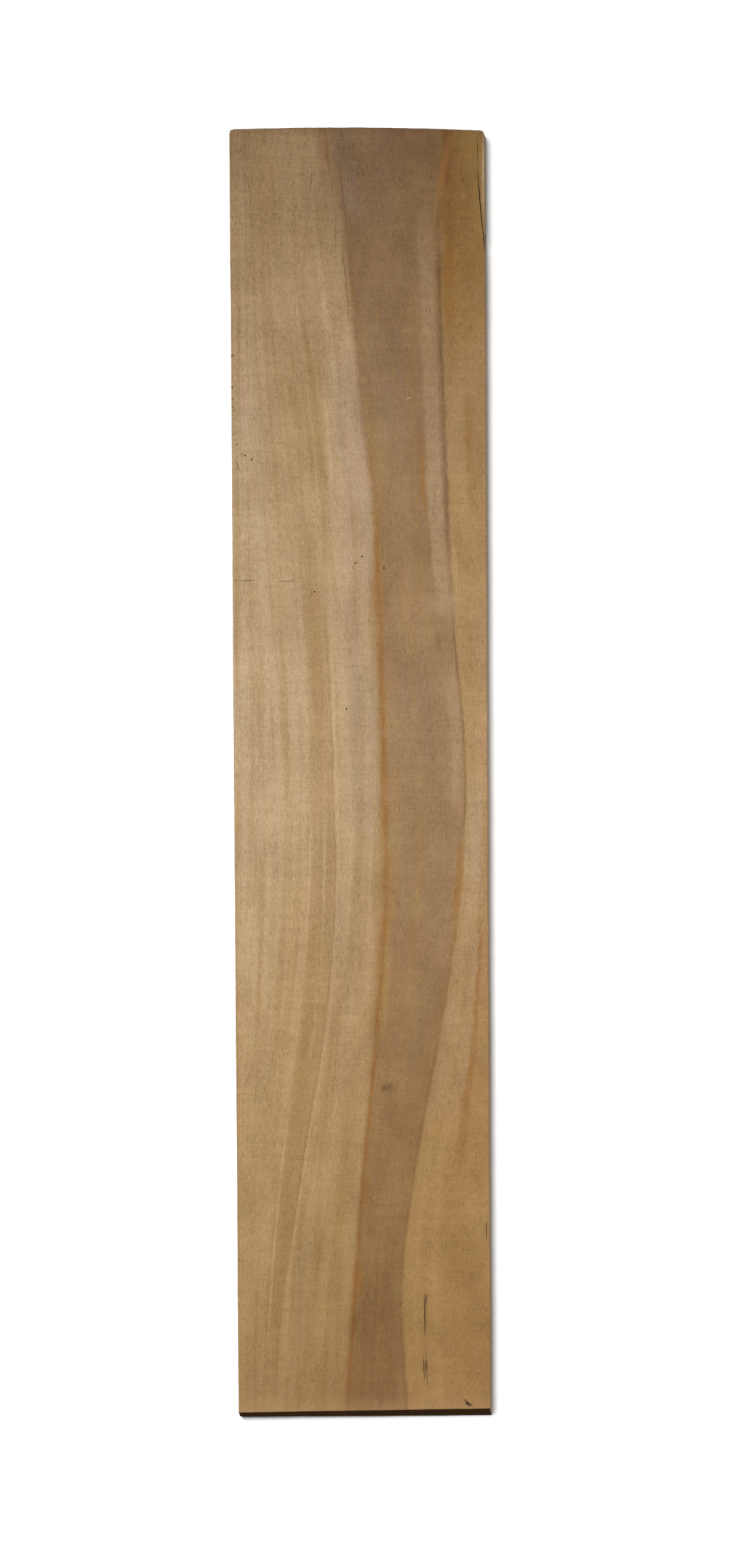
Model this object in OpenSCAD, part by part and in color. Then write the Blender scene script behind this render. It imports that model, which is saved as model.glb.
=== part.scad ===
/* [Board] */
// Length over all, from the square cut of the foot to the crown of the head
board_l = 500; // [350:1:2500]
// Width at the head end
head_w = 99.4; // [80:0.1:300]
// Width at the foot end
foot_w = 98; // [80:0.1:300]
// Thickness as sawn
board_t = 27; // [20:0.5:80]

/* [Head cut] */
// Rise of the crowned head cut above its chord
head_crown = 1; // [0.2:0.1:3]
// How much lower the right end of the head cut is than its left end
head_skew = 1.2; // [0:0.1:4]
// Radius of the worn left corner of the head
head_left_r = 2.2; // [0.5:0.1:6]
// Radius of the knocked right corner of the head
head_right_r = 2; // [0.5:0.1:6]

/* [Foot cut] */
// Set-back of the leaning foot cut at the left of the upper face
foot_back_left = 1.3; // [0.2:0.1:4]
// Set-back of the leaning foot cut at the right of the upper face
foot_back_right = 2.3; // [0.2:0.1:4]
// How far the leaning foot cut runs out over the whole thickness
foot_run_out = 2.5; // [0.5:0.1:5]
// Radius of the lower foot corners
foot_corner_r = 0.8; // [0.3:0.1:2.5]

/* [Arrises] */
// Leg of the worn arris round both faces
arris = 0.4; // [0.1:0.1:1.5]
// Depth of the nicks torn out of the left arris
nick_depth = 0.5; // [0.1:0.1:1.5]

/* [Head split] */
// Distance of the split from the right edge where it starts
split_inset = 2.8; // [1.5:0.1:8]
// Distance from the head to the start of the split
split_start = 17; // [10:0.5:40]
// Length of the split up to where it runs out of the right edge
split_l = 33; // [15:0.5:80]
// Widest opening of the split
split_gap = 0.6; // [0.3:0.1:1.2]
// Lean of the split through the thickness, towards the right edge
split_lean = 1.8; // [0:0.1:3]
// Length of the closed check above the split
check_l = 11; // [4:0.5:20]
// Depth of the closed check
check_depth = 5; // [1:0.5:15]

/* [Shakes] */
// Distance of the foot shakes from the right edge
shake_inset = 25.6; // [8:0.1:40]
// Widest opening of a shake
shake_gap = 0.7; // [0.3:0.1:1.5]
// Depth of the foot shakes
shake_depth = 7; // [1:0.5:15]
// Distance of the short side shake from the right edge
side_shake_inset = 1.4; // [1:0.1:6]

/* [Pin holes] */
// Diameter of a pin hole
pin_d = 1.2; // [0.6:0.1:2.5]
// Depth of a pin hole
pin_depth = 9; // [2:0.5:15]

/* [Gouge] */
// Length of the gouge beside the foot
gouge_l = 2.8; // [1:0.1:5]
// Width of the gouge at the surface
gouge_w = 1.4; // [0.6:0.1:3]
// Depth of the gouge
gouge_depth = 0.5; // [0.2:0.1:1.5]

/* [Hidden] */
$fn = 32;

// How far a cutting solid reaches past the face that it cuts
over = 1;
// Straight pieces that stand for the crown, for a corner and for a split
crown_steps = 8;
corner_steps = 4;
split_steps = 8;
// How fast the split bends towards the edge: 1 is straight
split_bend = 1.3;
// Share of the split's length over which it opens
split_mouth = 0.25;
// Opening of the closed check, as a share of the split's
check_share = 0.6;
// Clear wood between the closed check and the split
check_bridge = 2;

// Pin holes, as distance from the left edge and from the head
pin_holes = [[50.5, 167], [48, 169.5], [59, 171.5], [32, 180.5], [44, 226], [8, 129], [5.5, 127.5]];
// Nicks in the left arris, as distance from the head and radius
nicks = [[89, 1], [101, 1.4], [105, 0.9], [109, 1.6], [113.5, 1.2], [115.5, 0.9], [119, 1.2]];
// Shakes at the foot, as start and end from the foot and their drift to the right
foot_shakes = [[13.3, 23.8, -0.6], [30.5, 47.4, 0.1]];
// Shake at the right edge, as start and end from the foot
side_shake = [67.5, 75.5];
// Middle of the gouge, as distance from the right edge and from the foot, and its turn
gouge_place = [9, 4.6];
gouge_turn = -32;

head_y = board_l / 2;
foot_y = -board_l / 2;
// Where along the head cut its crown is highest, and how far that is above the left end
crown_u = min(1, max(0, 0.5 - head_skew / (8 * head_crown)));
crown_rise = 4 * head_crown * crown_u * (1 - crown_u) - head_skew * crown_u;
gouge_r = (gouge_w * gouge_w / 4 + gouge_depth * gouge_depth) / (2 * gouge_depth);

// Half the width at a distance y from the middle of the length
function half_w(y) = (foot_w + (head_w - foot_w) * (y - foot_y) / board_l) / 2;

// Point of the head cut, u running from 0 at the left edge to 1 at the right
function head_point(u) = [
    head_w * (u - 0.5),
    head_y - crown_rise + 4 * head_crown * u * (1 - u) - head_skew * u
];

function unit(v) = v / norm(v);

// Points of a round corner of radius r at a point of a counter-clockwise outline
function corner(before, at, after, r) =
    let (
        back = unit(before - at),
        ahead = unit(after - at),
        half = acos(back * ahead) / 2,
        middle = at + unit(back + ahead) * r / sin(half),
        first = at + back * r / tan(half) - middle,
        start = atan2(first[1], first[0]),
        turn = 180 - 2 * half
    )
    [for (i = [0:corner_steps])
        let (a = start + turn * i / corner_steps)
        middle + r * [cos(a), sin(a)]];

// Left foot corner, right foot corner: of the square cut below, and of the leaning cut above
foot_below = [[-foot_w / 2, foot_y], [foot_w / 2, foot_y]];
foot_above = [
    [-half_w(foot_y + foot_back_left), foot_y + foot_back_left],
    [half_w(foot_y + foot_back_right), foot_y + foot_back_right]
];

// Crowned head from right to left, with its two corners rounded
function head_outline(foot) = concat(
    corner(foot[1], head_point(1), head_point(1 - 1 / crown_steps), head_right_r),
    [for (i = [1:crown_steps - 1]) head_point(1 - i / crown_steps)],
    corner(head_point(1 / crown_steps), head_point(0), foot[0], head_left_r)
);

lower_outline = concat(
    corner(head_point(0), foot_below[0], foot_below[1], foot_corner_r),
    corner(foot_below[0], foot_below[1], head_point(1), foot_corner_r),
    head_outline(foot_below)
);
upper_outline = concat(foot_above, head_outline(foot_above));

// Bar of triangular section that takes the arris off along p to q, on the upper or lower face
module arris_bar(p, q, upper) {
    run = q - p;
    side = upper ? 1 : -1;
    translate([p[0], p[1], upper ? board_t : 0])
        rotate([0, 0, atan2(run[1], run[0])])
            rotate([90, 0, 90])
                translate([0, 0, -arris])
                    linear_extrude(norm(run) + 2 * arris)
                        polygon([
                            [arris + over, side * over],
                            [-over, side * over],
                            [-over, -side * (arris + over)]
                        ]);
}

module arris_bars(outline, upper) {
    for (i = [0:len(outline) - 1])
        arris_bar(outline[i], outline[(i + 1) % len(outline)], upper);
}

// Leaning cut across the foot, as a wedge that grows from the run-out up
module foot_wedge() {
    run = foot_above[1] - foot_above[0];
    long = norm(run) + 20 * over;
    slope = foot_run_out / board_t;
    translate([foot_above[0][0], foot_above[0][1], board_t])
        rotate([0, 0, atan2(run[1], run[0])])
            rotate([90, 0, 90])
                translate([0, 0, -10 * over])
                    linear_extrude(long)
                        polygon([
                            [slope * over, over],
                            [-slope * (board_t + over), -board_t - over],
                            [-foot_run_out - 5 * over, -board_t - over],
                            [-foot_run_out - 5 * over, over]
                        ]);
}

// Slit of a given depth below the upper face, along a path with an opening at each point
module slit(path, gaps, depth) {
    last = len(path) - 1;
    translate([0, 0, board_t - depth])
        linear_extrude(depth + over)
            polygon(concat(
                [for (i = [0:last]) [path[i][0] - gaps[i] / 2, path[i][1]]],
                [for (i = [last:-1:0]) [path[i][0] + gaps[i] / 2, path[i][1]]]
            ));
}

// Opening at share t of a shake that is pointed at both ends
function shake_open(t, gap) = gap * (0.12 + 0.88 * sin(180 * t));

// Split that follows the grain and runs out through the right edge, right through the board
module head_split() {
    top = head_y - split_start;
    edge = half_w(top);
    path = [for (i = [0:split_steps])
        let (t = i / split_steps)
        [edge - split_inset * (1 - pow(t, split_bend)), top - split_l * t]];
    tail = [half_w(top - split_l) + over, top - split_l - over];
    gaps = [for (i = [0:split_steps])
        split_gap * (0.15 + 0.85 * min(1, i / split_steps / split_mouth))];
    translate([edge, 0, board_t])
        rotate([0, -split_lean, 0])
            translate([-edge, 0, -board_t])
                slit(concat(path, [tail]), concat(gaps, [split_gap]), board_t + over);
}

// Closed check between the head and the split, in line with it
module head_check() {
    low = head_y - split_start + check_bridge;
    x = half_w(low) - split_inset;
    path = [for (i = [0:split_steps]) [x - 0.2 * i / split_steps, low + check_l * i / split_steps]];
    slit(path, [for (i = [0:split_steps]) shake_open(i / split_steps, split_gap * check_share)], check_depth);
}

// Shake between two distances from the foot, at an inset from the right edge
module shake(from, to, inset, drift, depth) {
    path = [for (i = [0:split_steps])
        let (t = i / split_steps, y = foot_y + from + (to - from) * t)
        [half_w(y) - inset + drift * t, y]];
    slit(path, [for (i = [0:split_steps]) shake_open(i / split_steps, shake_gap)], depth);
}

module pin_hole(place) {
    y = head_y - place[1];
    translate([place[0] - half_w(y), y, board_t - pin_depth])
        cylinder(d = pin_d, h = pin_depth + over);
}

// Nick torn out of the left arris, as a ball that dips into the corner by the nick's depth
module nick(place) {
    y = head_y - place[0];
    out = (place[1] - nick_depth) / sqrt(2);
    translate([-half_w(y) - out, y, board_t + out])
        sphere(r = place[1]);
}

module gouge() {
    y = foot_y + gouge_place[1];
    translate([half_w(y) - gouge_place[0], y, board_t - gouge_depth + gouge_r])
        rotate([0, 0, gouge_turn])
            rotate([0, 90, 0])
                cylinder(r = gouge_r, h = gouge_l, center = true);
}

// Board as it left the saw: square below, with the leaning cut at the foot and worn arrises
module sawn_board() {
    difference() {
        linear_extrude(board_t) polygon(lower_outline);
        foot_wedge();
        arris_bars(upper_outline, true);
        arris_bars(lower_outline, false);
    }
}

module plank() {
    color("tan")
        difference() {
            sawn_board();
            head_split();
            head_check();
            for (s = foot_shakes)
                shake(s[0], s[1], shake_inset, s[2], shake_depth);
            shake(side_shake[0], side_shake[1], side_shake_inset, 0, shake_depth / 2);
            for (p = pin_holes)
                pin_hole(p);
            for (n = nicks)
                nick(n);
            gouge();
        }
}

plank();
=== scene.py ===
"""Looks of a short rough-sawn beech plank, dressed over its construction model.

The plank lies flat on a pale floor and is seen from above, with its head at the top of the
picture. Lengths are in millimetres where a name or a docstring says so, and in metres else.
"""

from __future__ import annotations

import logging
import math
from dataclasses import dataclass, field
from enum import Enum
from typing import Callable, Sequence

import bmesh
import bpy
import numpy as np
from mathutils import Matrix, Vector


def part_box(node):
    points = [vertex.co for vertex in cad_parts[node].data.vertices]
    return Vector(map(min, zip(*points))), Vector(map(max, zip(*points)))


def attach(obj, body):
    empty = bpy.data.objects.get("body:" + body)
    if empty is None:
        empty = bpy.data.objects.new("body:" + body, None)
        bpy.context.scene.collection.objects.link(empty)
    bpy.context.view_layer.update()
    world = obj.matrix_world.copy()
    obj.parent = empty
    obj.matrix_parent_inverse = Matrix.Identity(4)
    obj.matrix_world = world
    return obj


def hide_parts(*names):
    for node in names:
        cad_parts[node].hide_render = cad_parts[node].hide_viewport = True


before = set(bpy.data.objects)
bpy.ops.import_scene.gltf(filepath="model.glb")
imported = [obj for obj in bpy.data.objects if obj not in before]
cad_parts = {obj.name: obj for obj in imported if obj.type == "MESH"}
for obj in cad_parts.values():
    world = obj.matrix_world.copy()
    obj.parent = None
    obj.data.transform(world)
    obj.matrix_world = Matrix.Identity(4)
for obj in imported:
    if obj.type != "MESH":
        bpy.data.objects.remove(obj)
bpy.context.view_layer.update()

MM = 0.001
GRAIN_BEND = 0.00035
FULL_LIGHT = 1.25
BODY = "root"
NODE = "plank"

log = logging.getLogger("plank")


class Pick(Enum):
    """What a selection in edit mode is made of."""

    VERTS = "VERT"
    EDGES = "EDGE"
    FACES = "FACE"


class Surface(Enum):
    """Faces of the plank that have a finish of their own, in the order of the material slots."""

    SAWN_FACE = 0
    SAWN_EDGE = 1
    END_GRAIN = 2


def start_edit(piece: bpy.types.Object) -> None:
    """Make a piece the only selected one and enter edit mode on it."""
    if bpy.context.object and bpy.context.object.mode != "OBJECT":
        bpy.ops.object.mode_set(mode="OBJECT")
    bpy.ops.object.select_all(action="DESELECT")
    bpy.context.view_layer.objects.active = piece
    piece.select_set(True)
    bpy.ops.object.mode_set(mode="EDIT")


def end_edit() -> None:
    """Go back to object mode."""
    bpy.ops.object.mode_set(mode="OBJECT")


def pick(piece: bpy.types.Object, kind: Pick, test: Callable[[object], bool]) -> int:
    """Select what passes a test on a piece that is in edit mode, and nothing else.

    Args:
        piece: The piece in edit mode.
        kind: Whether vertices, edges or faces are tested.
        test: Tells whether an element is selected.

    Returns:
        How many elements are selected.
    """
    bpy.ops.mesh.select_mode(type=kind.value)
    bpy.ops.mesh.select_all(action="DESELECT")
    mesh = bmesh.from_edit_mesh(piece.data)
    elements = {Pick.VERTS: mesh.verts, Pick.EDGES: mesh.edges, Pick.FACES: mesh.faces}[kind]
    chosen = [element for element in elements if test(element)]
    for element in chosen:
        element.select_set(True)
    mesh.select_flush_mode()
    bmesh.update_edit_mesh(piece.data, loop_triangles=False, destructive=False)
    return len(chosen)


def middle(edge: bmesh.types.BMEdge) -> Vector:
    """Middle point of an edge."""
    return (edge.verts[0].co + edge.verts[1].co) / 2


def runs_along(edge: bmesh.types.BMEdge, axis: int) -> bool:
    """Whether an edge runs along an axis, give or take a few degrees."""
    run = edge.verts[1].co - edge.verts[0].co
    return abs(run[axis]) > 0.97 * run.length


def settle(piece: bpy.types.Object) -> None:
    """Put the place, turn and size of a piece into its mesh."""
    bpy.ops.object.select_all(action="DESELECT")
    bpy.context.view_layer.objects.active = piece
    piece.select_set(True)
    bpy.ops.object.transform_apply(location=True, rotation=True, scale=True)


def apply_modifier(piece: bpy.types.Object, modifier: bpy.types.Modifier) -> None:
    """Apply one modifier of a piece."""
    bpy.ops.object.select_all(action="DESELECT")
    bpy.context.view_layer.objects.active = piece
    piece.select_set(True)
    bpy.ops.object.modifier_apply(modifier=modifier.name)


def new_texture(name: str, kind: str, **settings: object) -> bpy.types.Texture:
    """Return the named modelling texture, made the first time with the settings given."""
    texture = bpy.data.textures.get(name)
    if texture is None:
        texture = bpy.data.textures.new(name, kind)
        for setting, value in settings.items():
            setattr(texture, setting, value)
    return texture


def press(
    piece: bpy.types.Object,
    group: str,
    axis: str,
    depth: float,
    texture: bpy.types.Texture,
    guide: bpy.types.Object | None = None,
) -> None:
    """Press a texture into the vertices of one group and apply it.

    Args:
        piece: The piece that is shaped.
        group: Name of its vertex group.
        axis: X, Y, Z or NORMAL.
        depth: How far the brightest part of the texture moves, in metres, with its sign.
        texture: What is pressed in.
        guide: Object whose place and size the texture follows, if it isn't the piece's own.
    """
    relief = piece.modifiers.new("relief", "DISPLACE")
    relief.texture = texture
    relief.vertex_group = group
    relief.direction = axis
    relief.mid_level = 0
    relief.strength = depth
    relief.texture_coords = "OBJECT" if guide else "LOCAL"
    relief.texture_coords_object = guide
    apply_modifier(piece, relief)


Source = "float | tuple[float, ...] | bpy.types.NodeSocket"


def tint(red: int, green: int, blue: int) -> tuple[float, float, float, float]:
    """Base colour that looks like a given screen shade, 0 to 255 a channel, in the studio's light."""
    shade = []
    for value in (red, green, blue):
        level = value / 255
        linear = level / 12.92 if level <= 0.04045 else ((level + 0.055) / 1.055) ** 2.4
        shade.append(linear / FULL_LIGHT)
    return (*shade, 1.0)


class Tint(Enum):
    """Shades of the wood in full light, under their names."""

    SAPWOOD = tint(194, 164, 127)
    GREYED = tint(198, 170, 135)
    BROWN = tint(179, 146, 105)
    PALE = tint(187, 158, 128)
    LIGHT_LINE = tint(203, 172, 131)
    LIGHTEST = tint(214, 186, 148)
    COOL_GREY = tint(166, 140, 111)
    HEART = tint(159, 126, 90)
    GREY_HEART = tint(151, 122, 93)
    BLUISH = tint(161, 133, 110)
    DEEP_BROWN = tint(140, 104, 66)
    BRIGHT_BAND = tint(180, 150, 117)
    ORANGE = tint(159, 110, 47)
    RUST = tint(134, 90, 42)
    DARK = tint(98, 68, 40)
    WARM = tint(178, 142, 98)
    YELLOW = tint(196, 162, 114)
    REDDISH = tint(180, 130, 90)
    GOLDEN = tint(174, 137, 83)
    AMBER = tint(170, 133, 72)
    PINKISH = tint(186, 146, 116)
    GREENISH = tint(176, 152, 106)
    # Used for dark specks and for painted shade in the nicks, the shakes and the gouge.
    SOOT = tint(70, 48, 30)


class Wiring:
    """Adds nodes to a node tree and links them."""

    def __init__(self, tree: bpy.types.NodeTree) -> None:
        """Work on one node tree."""
        self.tree = tree

    def node(self, kind: str, **settings: object) -> bpy.types.Node:
        """Add a node of a kind, with its settings."""
        node = self.tree.nodes.new(kind)
        for setting, value in settings.items():
            setattr(node, setting, value)
        return node

    def feed(self, socket: bpy.types.NodeSocket, source: Source) -> None:
        """Link a source to a socket, or set the socket to a plain value."""
        if isinstance(source, bpy.types.NodeSocket):
            self.tree.links.new(source, socket)
        else:
            socket.default_value = source

    def math(self, operation: str, *sources: Source) -> bpy.types.NodeSocket:
        """Result of a Math node."""
        node = self.node("ShaderNodeMath", operation=operation)
        for socket, source in zip(node.inputs, sources):
            self.feed(socket, source)
        return node.outputs[0]

    def vector(self, operation: str, *sources: Source) -> bpy.types.NodeSocket:
        """Result of a Vector Math node."""
        node = self.node("ShaderNodeVectorMath", operation=operation)
        for socket, source in zip(node.inputs, sources):
            self.feed(socket, source)
        return node.outputs["Value" if operation in ("LENGTH", "DISTANCE") else "Vector"]

    def join(self, x: Source, y: Source, z: Source) -> bpy.types.NodeSocket:
        """Vector of three values."""
        node = self.node("ShaderNodeCombineXYZ")
        for socket, source in zip(node.inputs, (x, y, z)):
            self.feed(socket, source)
        return node.outputs[0]

    def split(self, source: Source) -> tuple[bpy.types.NodeSocket, ...]:
        """The three values of a vector."""
        node = self.node("ShaderNodeSeparateXYZ")
        self.feed(node.inputs[0], source)
        return tuple(node.outputs)

    def ease(self, value: Source, low: Source, high: Source, first: Source = 0.0, last: Source = 1.0) -> Source:
        """Value eased from first, at low, to last, at high, and held beyond them."""
        node = self.node("ShaderNodeMapRange", interpolation_type="SMOOTHSTEP")
        for socket, source in zip(node.inputs, (value, low, high, first, last)):
            self.feed(socket, source)
        return node.outputs[0]

    def noise(
        self, vector: Source, detail: float = 2.0, roughness: float = 0.5, flat: bool = False
    ) -> bpy.types.NodeSocket:
        """Noise of about one unit, from 0 to 1. Flat noise is the same at every depth."""
        node = self.node("ShaderNodeTexNoise", noise_dimensions="2D" if flat else "3D")
        self.feed(node.inputs["Vector"], vector)
        node.inputs["Scale"].default_value = 1.0
        node.inputs["Detail"].default_value = detail
        node.inputs["Roughness"].default_value = roughness
        return node.outputs["Fac"]

    def mix(self, share: Source, first: Source, second: Source, blend: str = "MIX") -> bpy.types.NodeSocket:
        """Two colours mixed."""
        node = self.node("ShaderNodeMix", data_type="RGBA", blend_type=blend)
        self.feed(node.inputs["Factor"], share)
        self.feed(node.inputs[6], first)
        self.feed(node.inputs[7], second)
        return node.outputs[2]

    def effect(self, effect: Effect, **given: Source) -> bpy.types.Node:
        """Add a shared effect, with its named inputs."""
        node = self.node("ShaderNodeGroup")
        node.node_tree = effect.group()
        for name, source in given.items():
            self.feed(node.inputs[name.replace("_", " ")], source)
        return node


class Effect:
    """A shader node group that several finishes share.

    Attributes:
        name: Name of the group.
        takes: Its inputs with their usual values. Three values stand for a vector, four for a colour.
        gives: Its outputs.
    """

    name: str
    takes: dict[str, float | tuple[float, ...]]
    gives: tuple[str, ...] = ("Mask",)

    def group(self) -> bpy.types.NodeTree:
        """Return the node group, built the first time."""
        tree = bpy.data.node_groups.get(self.name)
        if tree is None:
            tree = bpy.data.node_groups.new(self.name, "ShaderNodeTree")
            for name, usual in self.takes.items():
                size = len(usual) if isinstance(usual, tuple) else 1
                kind = {1: "NodeSocketFloat", 3: "NodeSocketVector", 4: "NodeSocketColor"}[size]
                tree.interface.new_socket(name, in_out="INPUT", socket_type=kind).default_value = usual
            for name in self.gives:
                kind = "NodeSocketColor" if name == "Colour" else "NodeSocketFloat"
                tree.interface.new_socket(name, in_out="OUTPUT", socket_type=kind)
            wiring = Wiring(tree)
            given = wiring.node("NodeGroupInput").outputs
            results = self.wire(wiring, given)
            end = wiring.node("NodeGroupOutput")
            for socket, result in zip(end.inputs, results):
                wiring.feed(socket, result)
        return tree

    def wire(self, w: Wiring, given: bpy.types.NodeOutputs) -> tuple[Source, ...]:
        """Add the nodes of the group and return what it puts out."""
        raise NotImplementedError


class GrainStreak(Effect):
    """A streak that follows the grain between two ends, with soft flanks and worn places."""

    name = "grain_streak"
    takes = {
        "Colour": (0.5, 0.5, 0.5, 1.0), "Tint": (0.5, 0.5, 0.5, 1.0), "Across": 0.0, "Along": 0.0, "Wear": 1.0, "Place": 0.0, "Half Width": 1.0, "Softness": 1.0,
        "Head End": 260.0, "Foot End": -260.0, "Fade": 10.0, "Breaks": 0.0, "Strength": 1.0,
    }
    gives = ("Colour",)

    def wire(self, w: Wiring, given: bpy.types.NodeOutputs) -> tuple[Source, ...]:
        """Colour under the streak, turned to its tint between the flanks and ends where it isn't worn."""
        away = w.math("ABSOLUTE", w.math("SUBTRACT", given["Across"], given["Place"]))
        half_soft = w.math("MULTIPLY", given["Softness"], 0.5)
        inner = w.math("SUBTRACT", given["Half Width"], half_soft)
        outer = w.math("ADD", given["Half Width"], half_soft)
        flanks = w.ease(away, inner, outer, given["Strength"], 0.0)
        middle = w.math("MULTIPLY", w.math("ADD", given["Head End"], given["Foot End"]), 0.5)
        reach = w.math("MULTIPLY", w.math("SUBTRACT", given["Head End"], given["Foot End"]), 0.5)
        off = w.math("ABSOLUTE", w.math("SUBTRACT", given["Along"], middle))
        ends = w.ease(off, w.math("SUBTRACT", reach, given["Fade"]), reach, 1.0, 0.0)
        worn = w.math("SUBTRACT", 1.0, w.math("MULTIPLY", given["Breaks"], given["Wear"]))
        mask = w.math("MULTIPLY", w.math("MULTIPLY", flanks, ends), worn)
        return (w.mix(mask, given["Colour"], given["Tint"]),)


class Fibres(Effect):
    """Fine streaks of the fibres, light and dark, in a solid that runs through the board."""

    name = "fibres"
    takes = {"Flow": (0.0, 0.0, 0.0), "Width": 0.5, "Length": 15.0, "Seed": 0.0}
    gives = ("Tone",)

    def wire(self, w: Wiring, given: bpy.types.NodeOutputs) -> tuple[Source, ...]:
        """Noise that is stretched along the grain."""
        across, along, through = w.split(given["Flow"])
        flow = w.join(
            w.math("ADD", w.math("DIVIDE", across, given["Width"]), given["Seed"]),
            w.math("DIVIDE", along, given["Length"]),
            w.math("DIVIDE", through, given["Width"]),
        )
        return (w.noise(flow, 2.0, 0.55),)


class RayFlecks(Effect):
    """Short dark flecks where the rays of the wood are cut, longer than they are wide."""

    name = "ray_flecks"
    takes = {"Flow": (0.0, 0.0, 0.0), "Width": 0.45, "Length": 2.2, "Share": 0.35, "Seed": 0.0}

    def wire(self, w: Wiring, given: bpy.types.NodeOutputs) -> tuple[Source, ...]:
        """Stretched cells, of which a share holds a fleck."""
        across, along, through = w.split(given["Flow"])
        flow = w.join(
            w.math("ADD", w.math("DIVIDE", across, given["Width"]), given["Seed"]),
            w.math("DIVIDE", along, given["Length"]),
            w.math("DIVIDE", through, given["Length"]),
        )
        cells = w.node("ShaderNodeTexVoronoi", feature="F1", voronoi_dimensions="3D")
        w.feed(cells.inputs["Vector"], flow)
        cells.inputs["Scale"].default_value = 0.5
        chance = w.split(cells.outputs["Color"])[0]
        held = w.ease(chance, w.math("SUBTRACT", given["Share"], 0.08), given["Share"], 1.0, 0.0)
        return (w.math("MULTIPLY", held, w.ease(cells.outputs["Distance"], 0.12, 0.42, 1.0, 0.0)),)


class SawMarks(Effect):
    """Faint lines that the saw left across the board, evenly spaced but never quite alike."""

    name = "saw_marks"
    takes = {"Place": (0.0, 0.0, 0.0), "Pitch": 5.8}
    gives = ("Height",)

    def wire(self, w: Wiring, given: bpy.types.NodeOutputs) -> tuple[Source, ...]:
        """Coarse bands of the blade and fine scratches of its teeth."""
        across, along, through = w.split(given["Place"])
        slant = w.math("ADD", along, w.math("MULTIPLY", across, 0.03))
        drift = w.noise(w.join(w.math("MULTIPLY", across, 0.02), w.math("MULTIPLY", along, 0.03), 0.0), 1.0)
        turns = w.math("DIVIDE", w.math("ADD", slant, w.math("MULTIPLY", drift, 9.0)), given["Pitch"])
        bands = w.math("SINE", w.math("MULTIPLY", turns, 2 * math.pi))
        lines = w.noise(
            w.join(w.math("MULTIPLY", across, 0.12), w.math("MULTIPLY", slant, 1.5), w.math("MULTIPLY", through, 0.2)),
            2.0,
            0.7,
        )
        patches = w.ease(w.noise(w.join(w.math("MULTIPLY", across, 0.06), w.math("MULTIPLY", along, 0.04), 3.0)), 0.3, 0.7)
        coarse = w.math("MULTIPLY", w.math("ADD", w.math("MULTIPLY", bands, 0.07), 0.5), patches)
        return (w.math("ADD", coarse, w.math("MULTIPLY", lines, 0.8)),)


class Mark(Effect):
    """An oval mark at one place of the upper face, such as a speck, a scratch or a smear."""

    name = "mark"
    takes = {
        "Colour": (0.5, 0.5, 0.5, 1.0), "Tint": (0.5, 0.5, 0.5, 1.0), "Spot": (0.0, 0.0, 0.0), "Ragged": 0.0, "X": 0.0, "Y": 0.0, "Reach X": 1.0, "Reach Y": 1.0,
        "Turn": 0.0, "Softness": 0.5, "Strength": 1.0,
    }
    gives = ("Colour",)

    def wire(self, w: Wiring, given: bpy.types.NodeOutputs) -> tuple[Source, ...]:
        """Colour under the mark, turned to its tint within an oval with a ragged rim."""
        x, y, _ = w.split(given["Spot"])
        right = w.math("SUBTRACT", x, given["X"])
        up = w.math("SUBTRACT", y, given["Y"])
        cosine = w.math("COSINE", given["Turn"])
        sine = w.math("SINE", given["Turn"])
        along_x = w.math("ADD", w.math("MULTIPLY", right, cosine), w.math("MULTIPLY", up, sine))
        along_y = w.math("SUBTRACT", w.math("MULTIPLY", up, cosine), w.math("MULTIPLY", right, sine))
        away = w.vector(
            "LENGTH",
            w.join(w.math("DIVIDE", along_x, given["Reach X"]), w.math("DIVIDE", along_y, given["Reach Y"]), 0.0),
        )
        rough = w.math("ADD", away, given["Ragged"])
        mask = w.ease(rough, w.math("SUBTRACT", 1.0, given["Softness"]), 1.0, given["Strength"], 0.0)
        return (w.mix(mask, given["Colour"], given["Tint"]),)


class GrowthRings(Effect):
    """Growth rings round the pith and the rays that cross them, as end grain shows them."""

    name = "growth_rings"
    takes = {"Ring": 0.0, "Turn": 0.0, "Along": 0.0, "Width": 2.6}
    gives = ("Lines", "Rays")

    def wire(self, w: Wiring, given: bpy.types.NodeOutputs) -> tuple[Source, ...]:
        """Sharp late-wood lines of uneven spacing, and thin rays that run outwards."""
        drift = w.noise(w.join(w.math("MULTIPLY", given["Ring"], 0.12), w.math("MULTIPLY", given["Along"], 0.004), 1.7))
        turns = w.math("ADD", w.math("DIVIDE", given["Ring"], given["Width"]), w.math("MULTIPLY", drift, 4.0))
        wave = w.math("FRACT", turns)
        lines = w.math("MULTIPLY", w.ease(wave, 0.45, 0.92), w.ease(wave, 0.92, 1.0, 1.0, 0.0))
        rays = w.noise(
            w.join(w.math("MULTIPLY", given["Turn"], 170.0), w.math("MULTIPLY", given["Ring"], 0.18), given["Along"]), 2.0
        )
        return lines, w.ease(rays, 0.55, 0.75)


@dataclass(frozen=True)
class GrainLine:
    """A line of the grain that wanders from the head of the plank to its foot.

    Attributes:
        name: What the line is on the plank.
        place: How far right of the middle it lies halfway along, in mm.
        route: How far right of the middle it lies at each station from head to foot, in mm.
    """

    name: str
    place: float
    route: tuple[float, ...]


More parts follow.
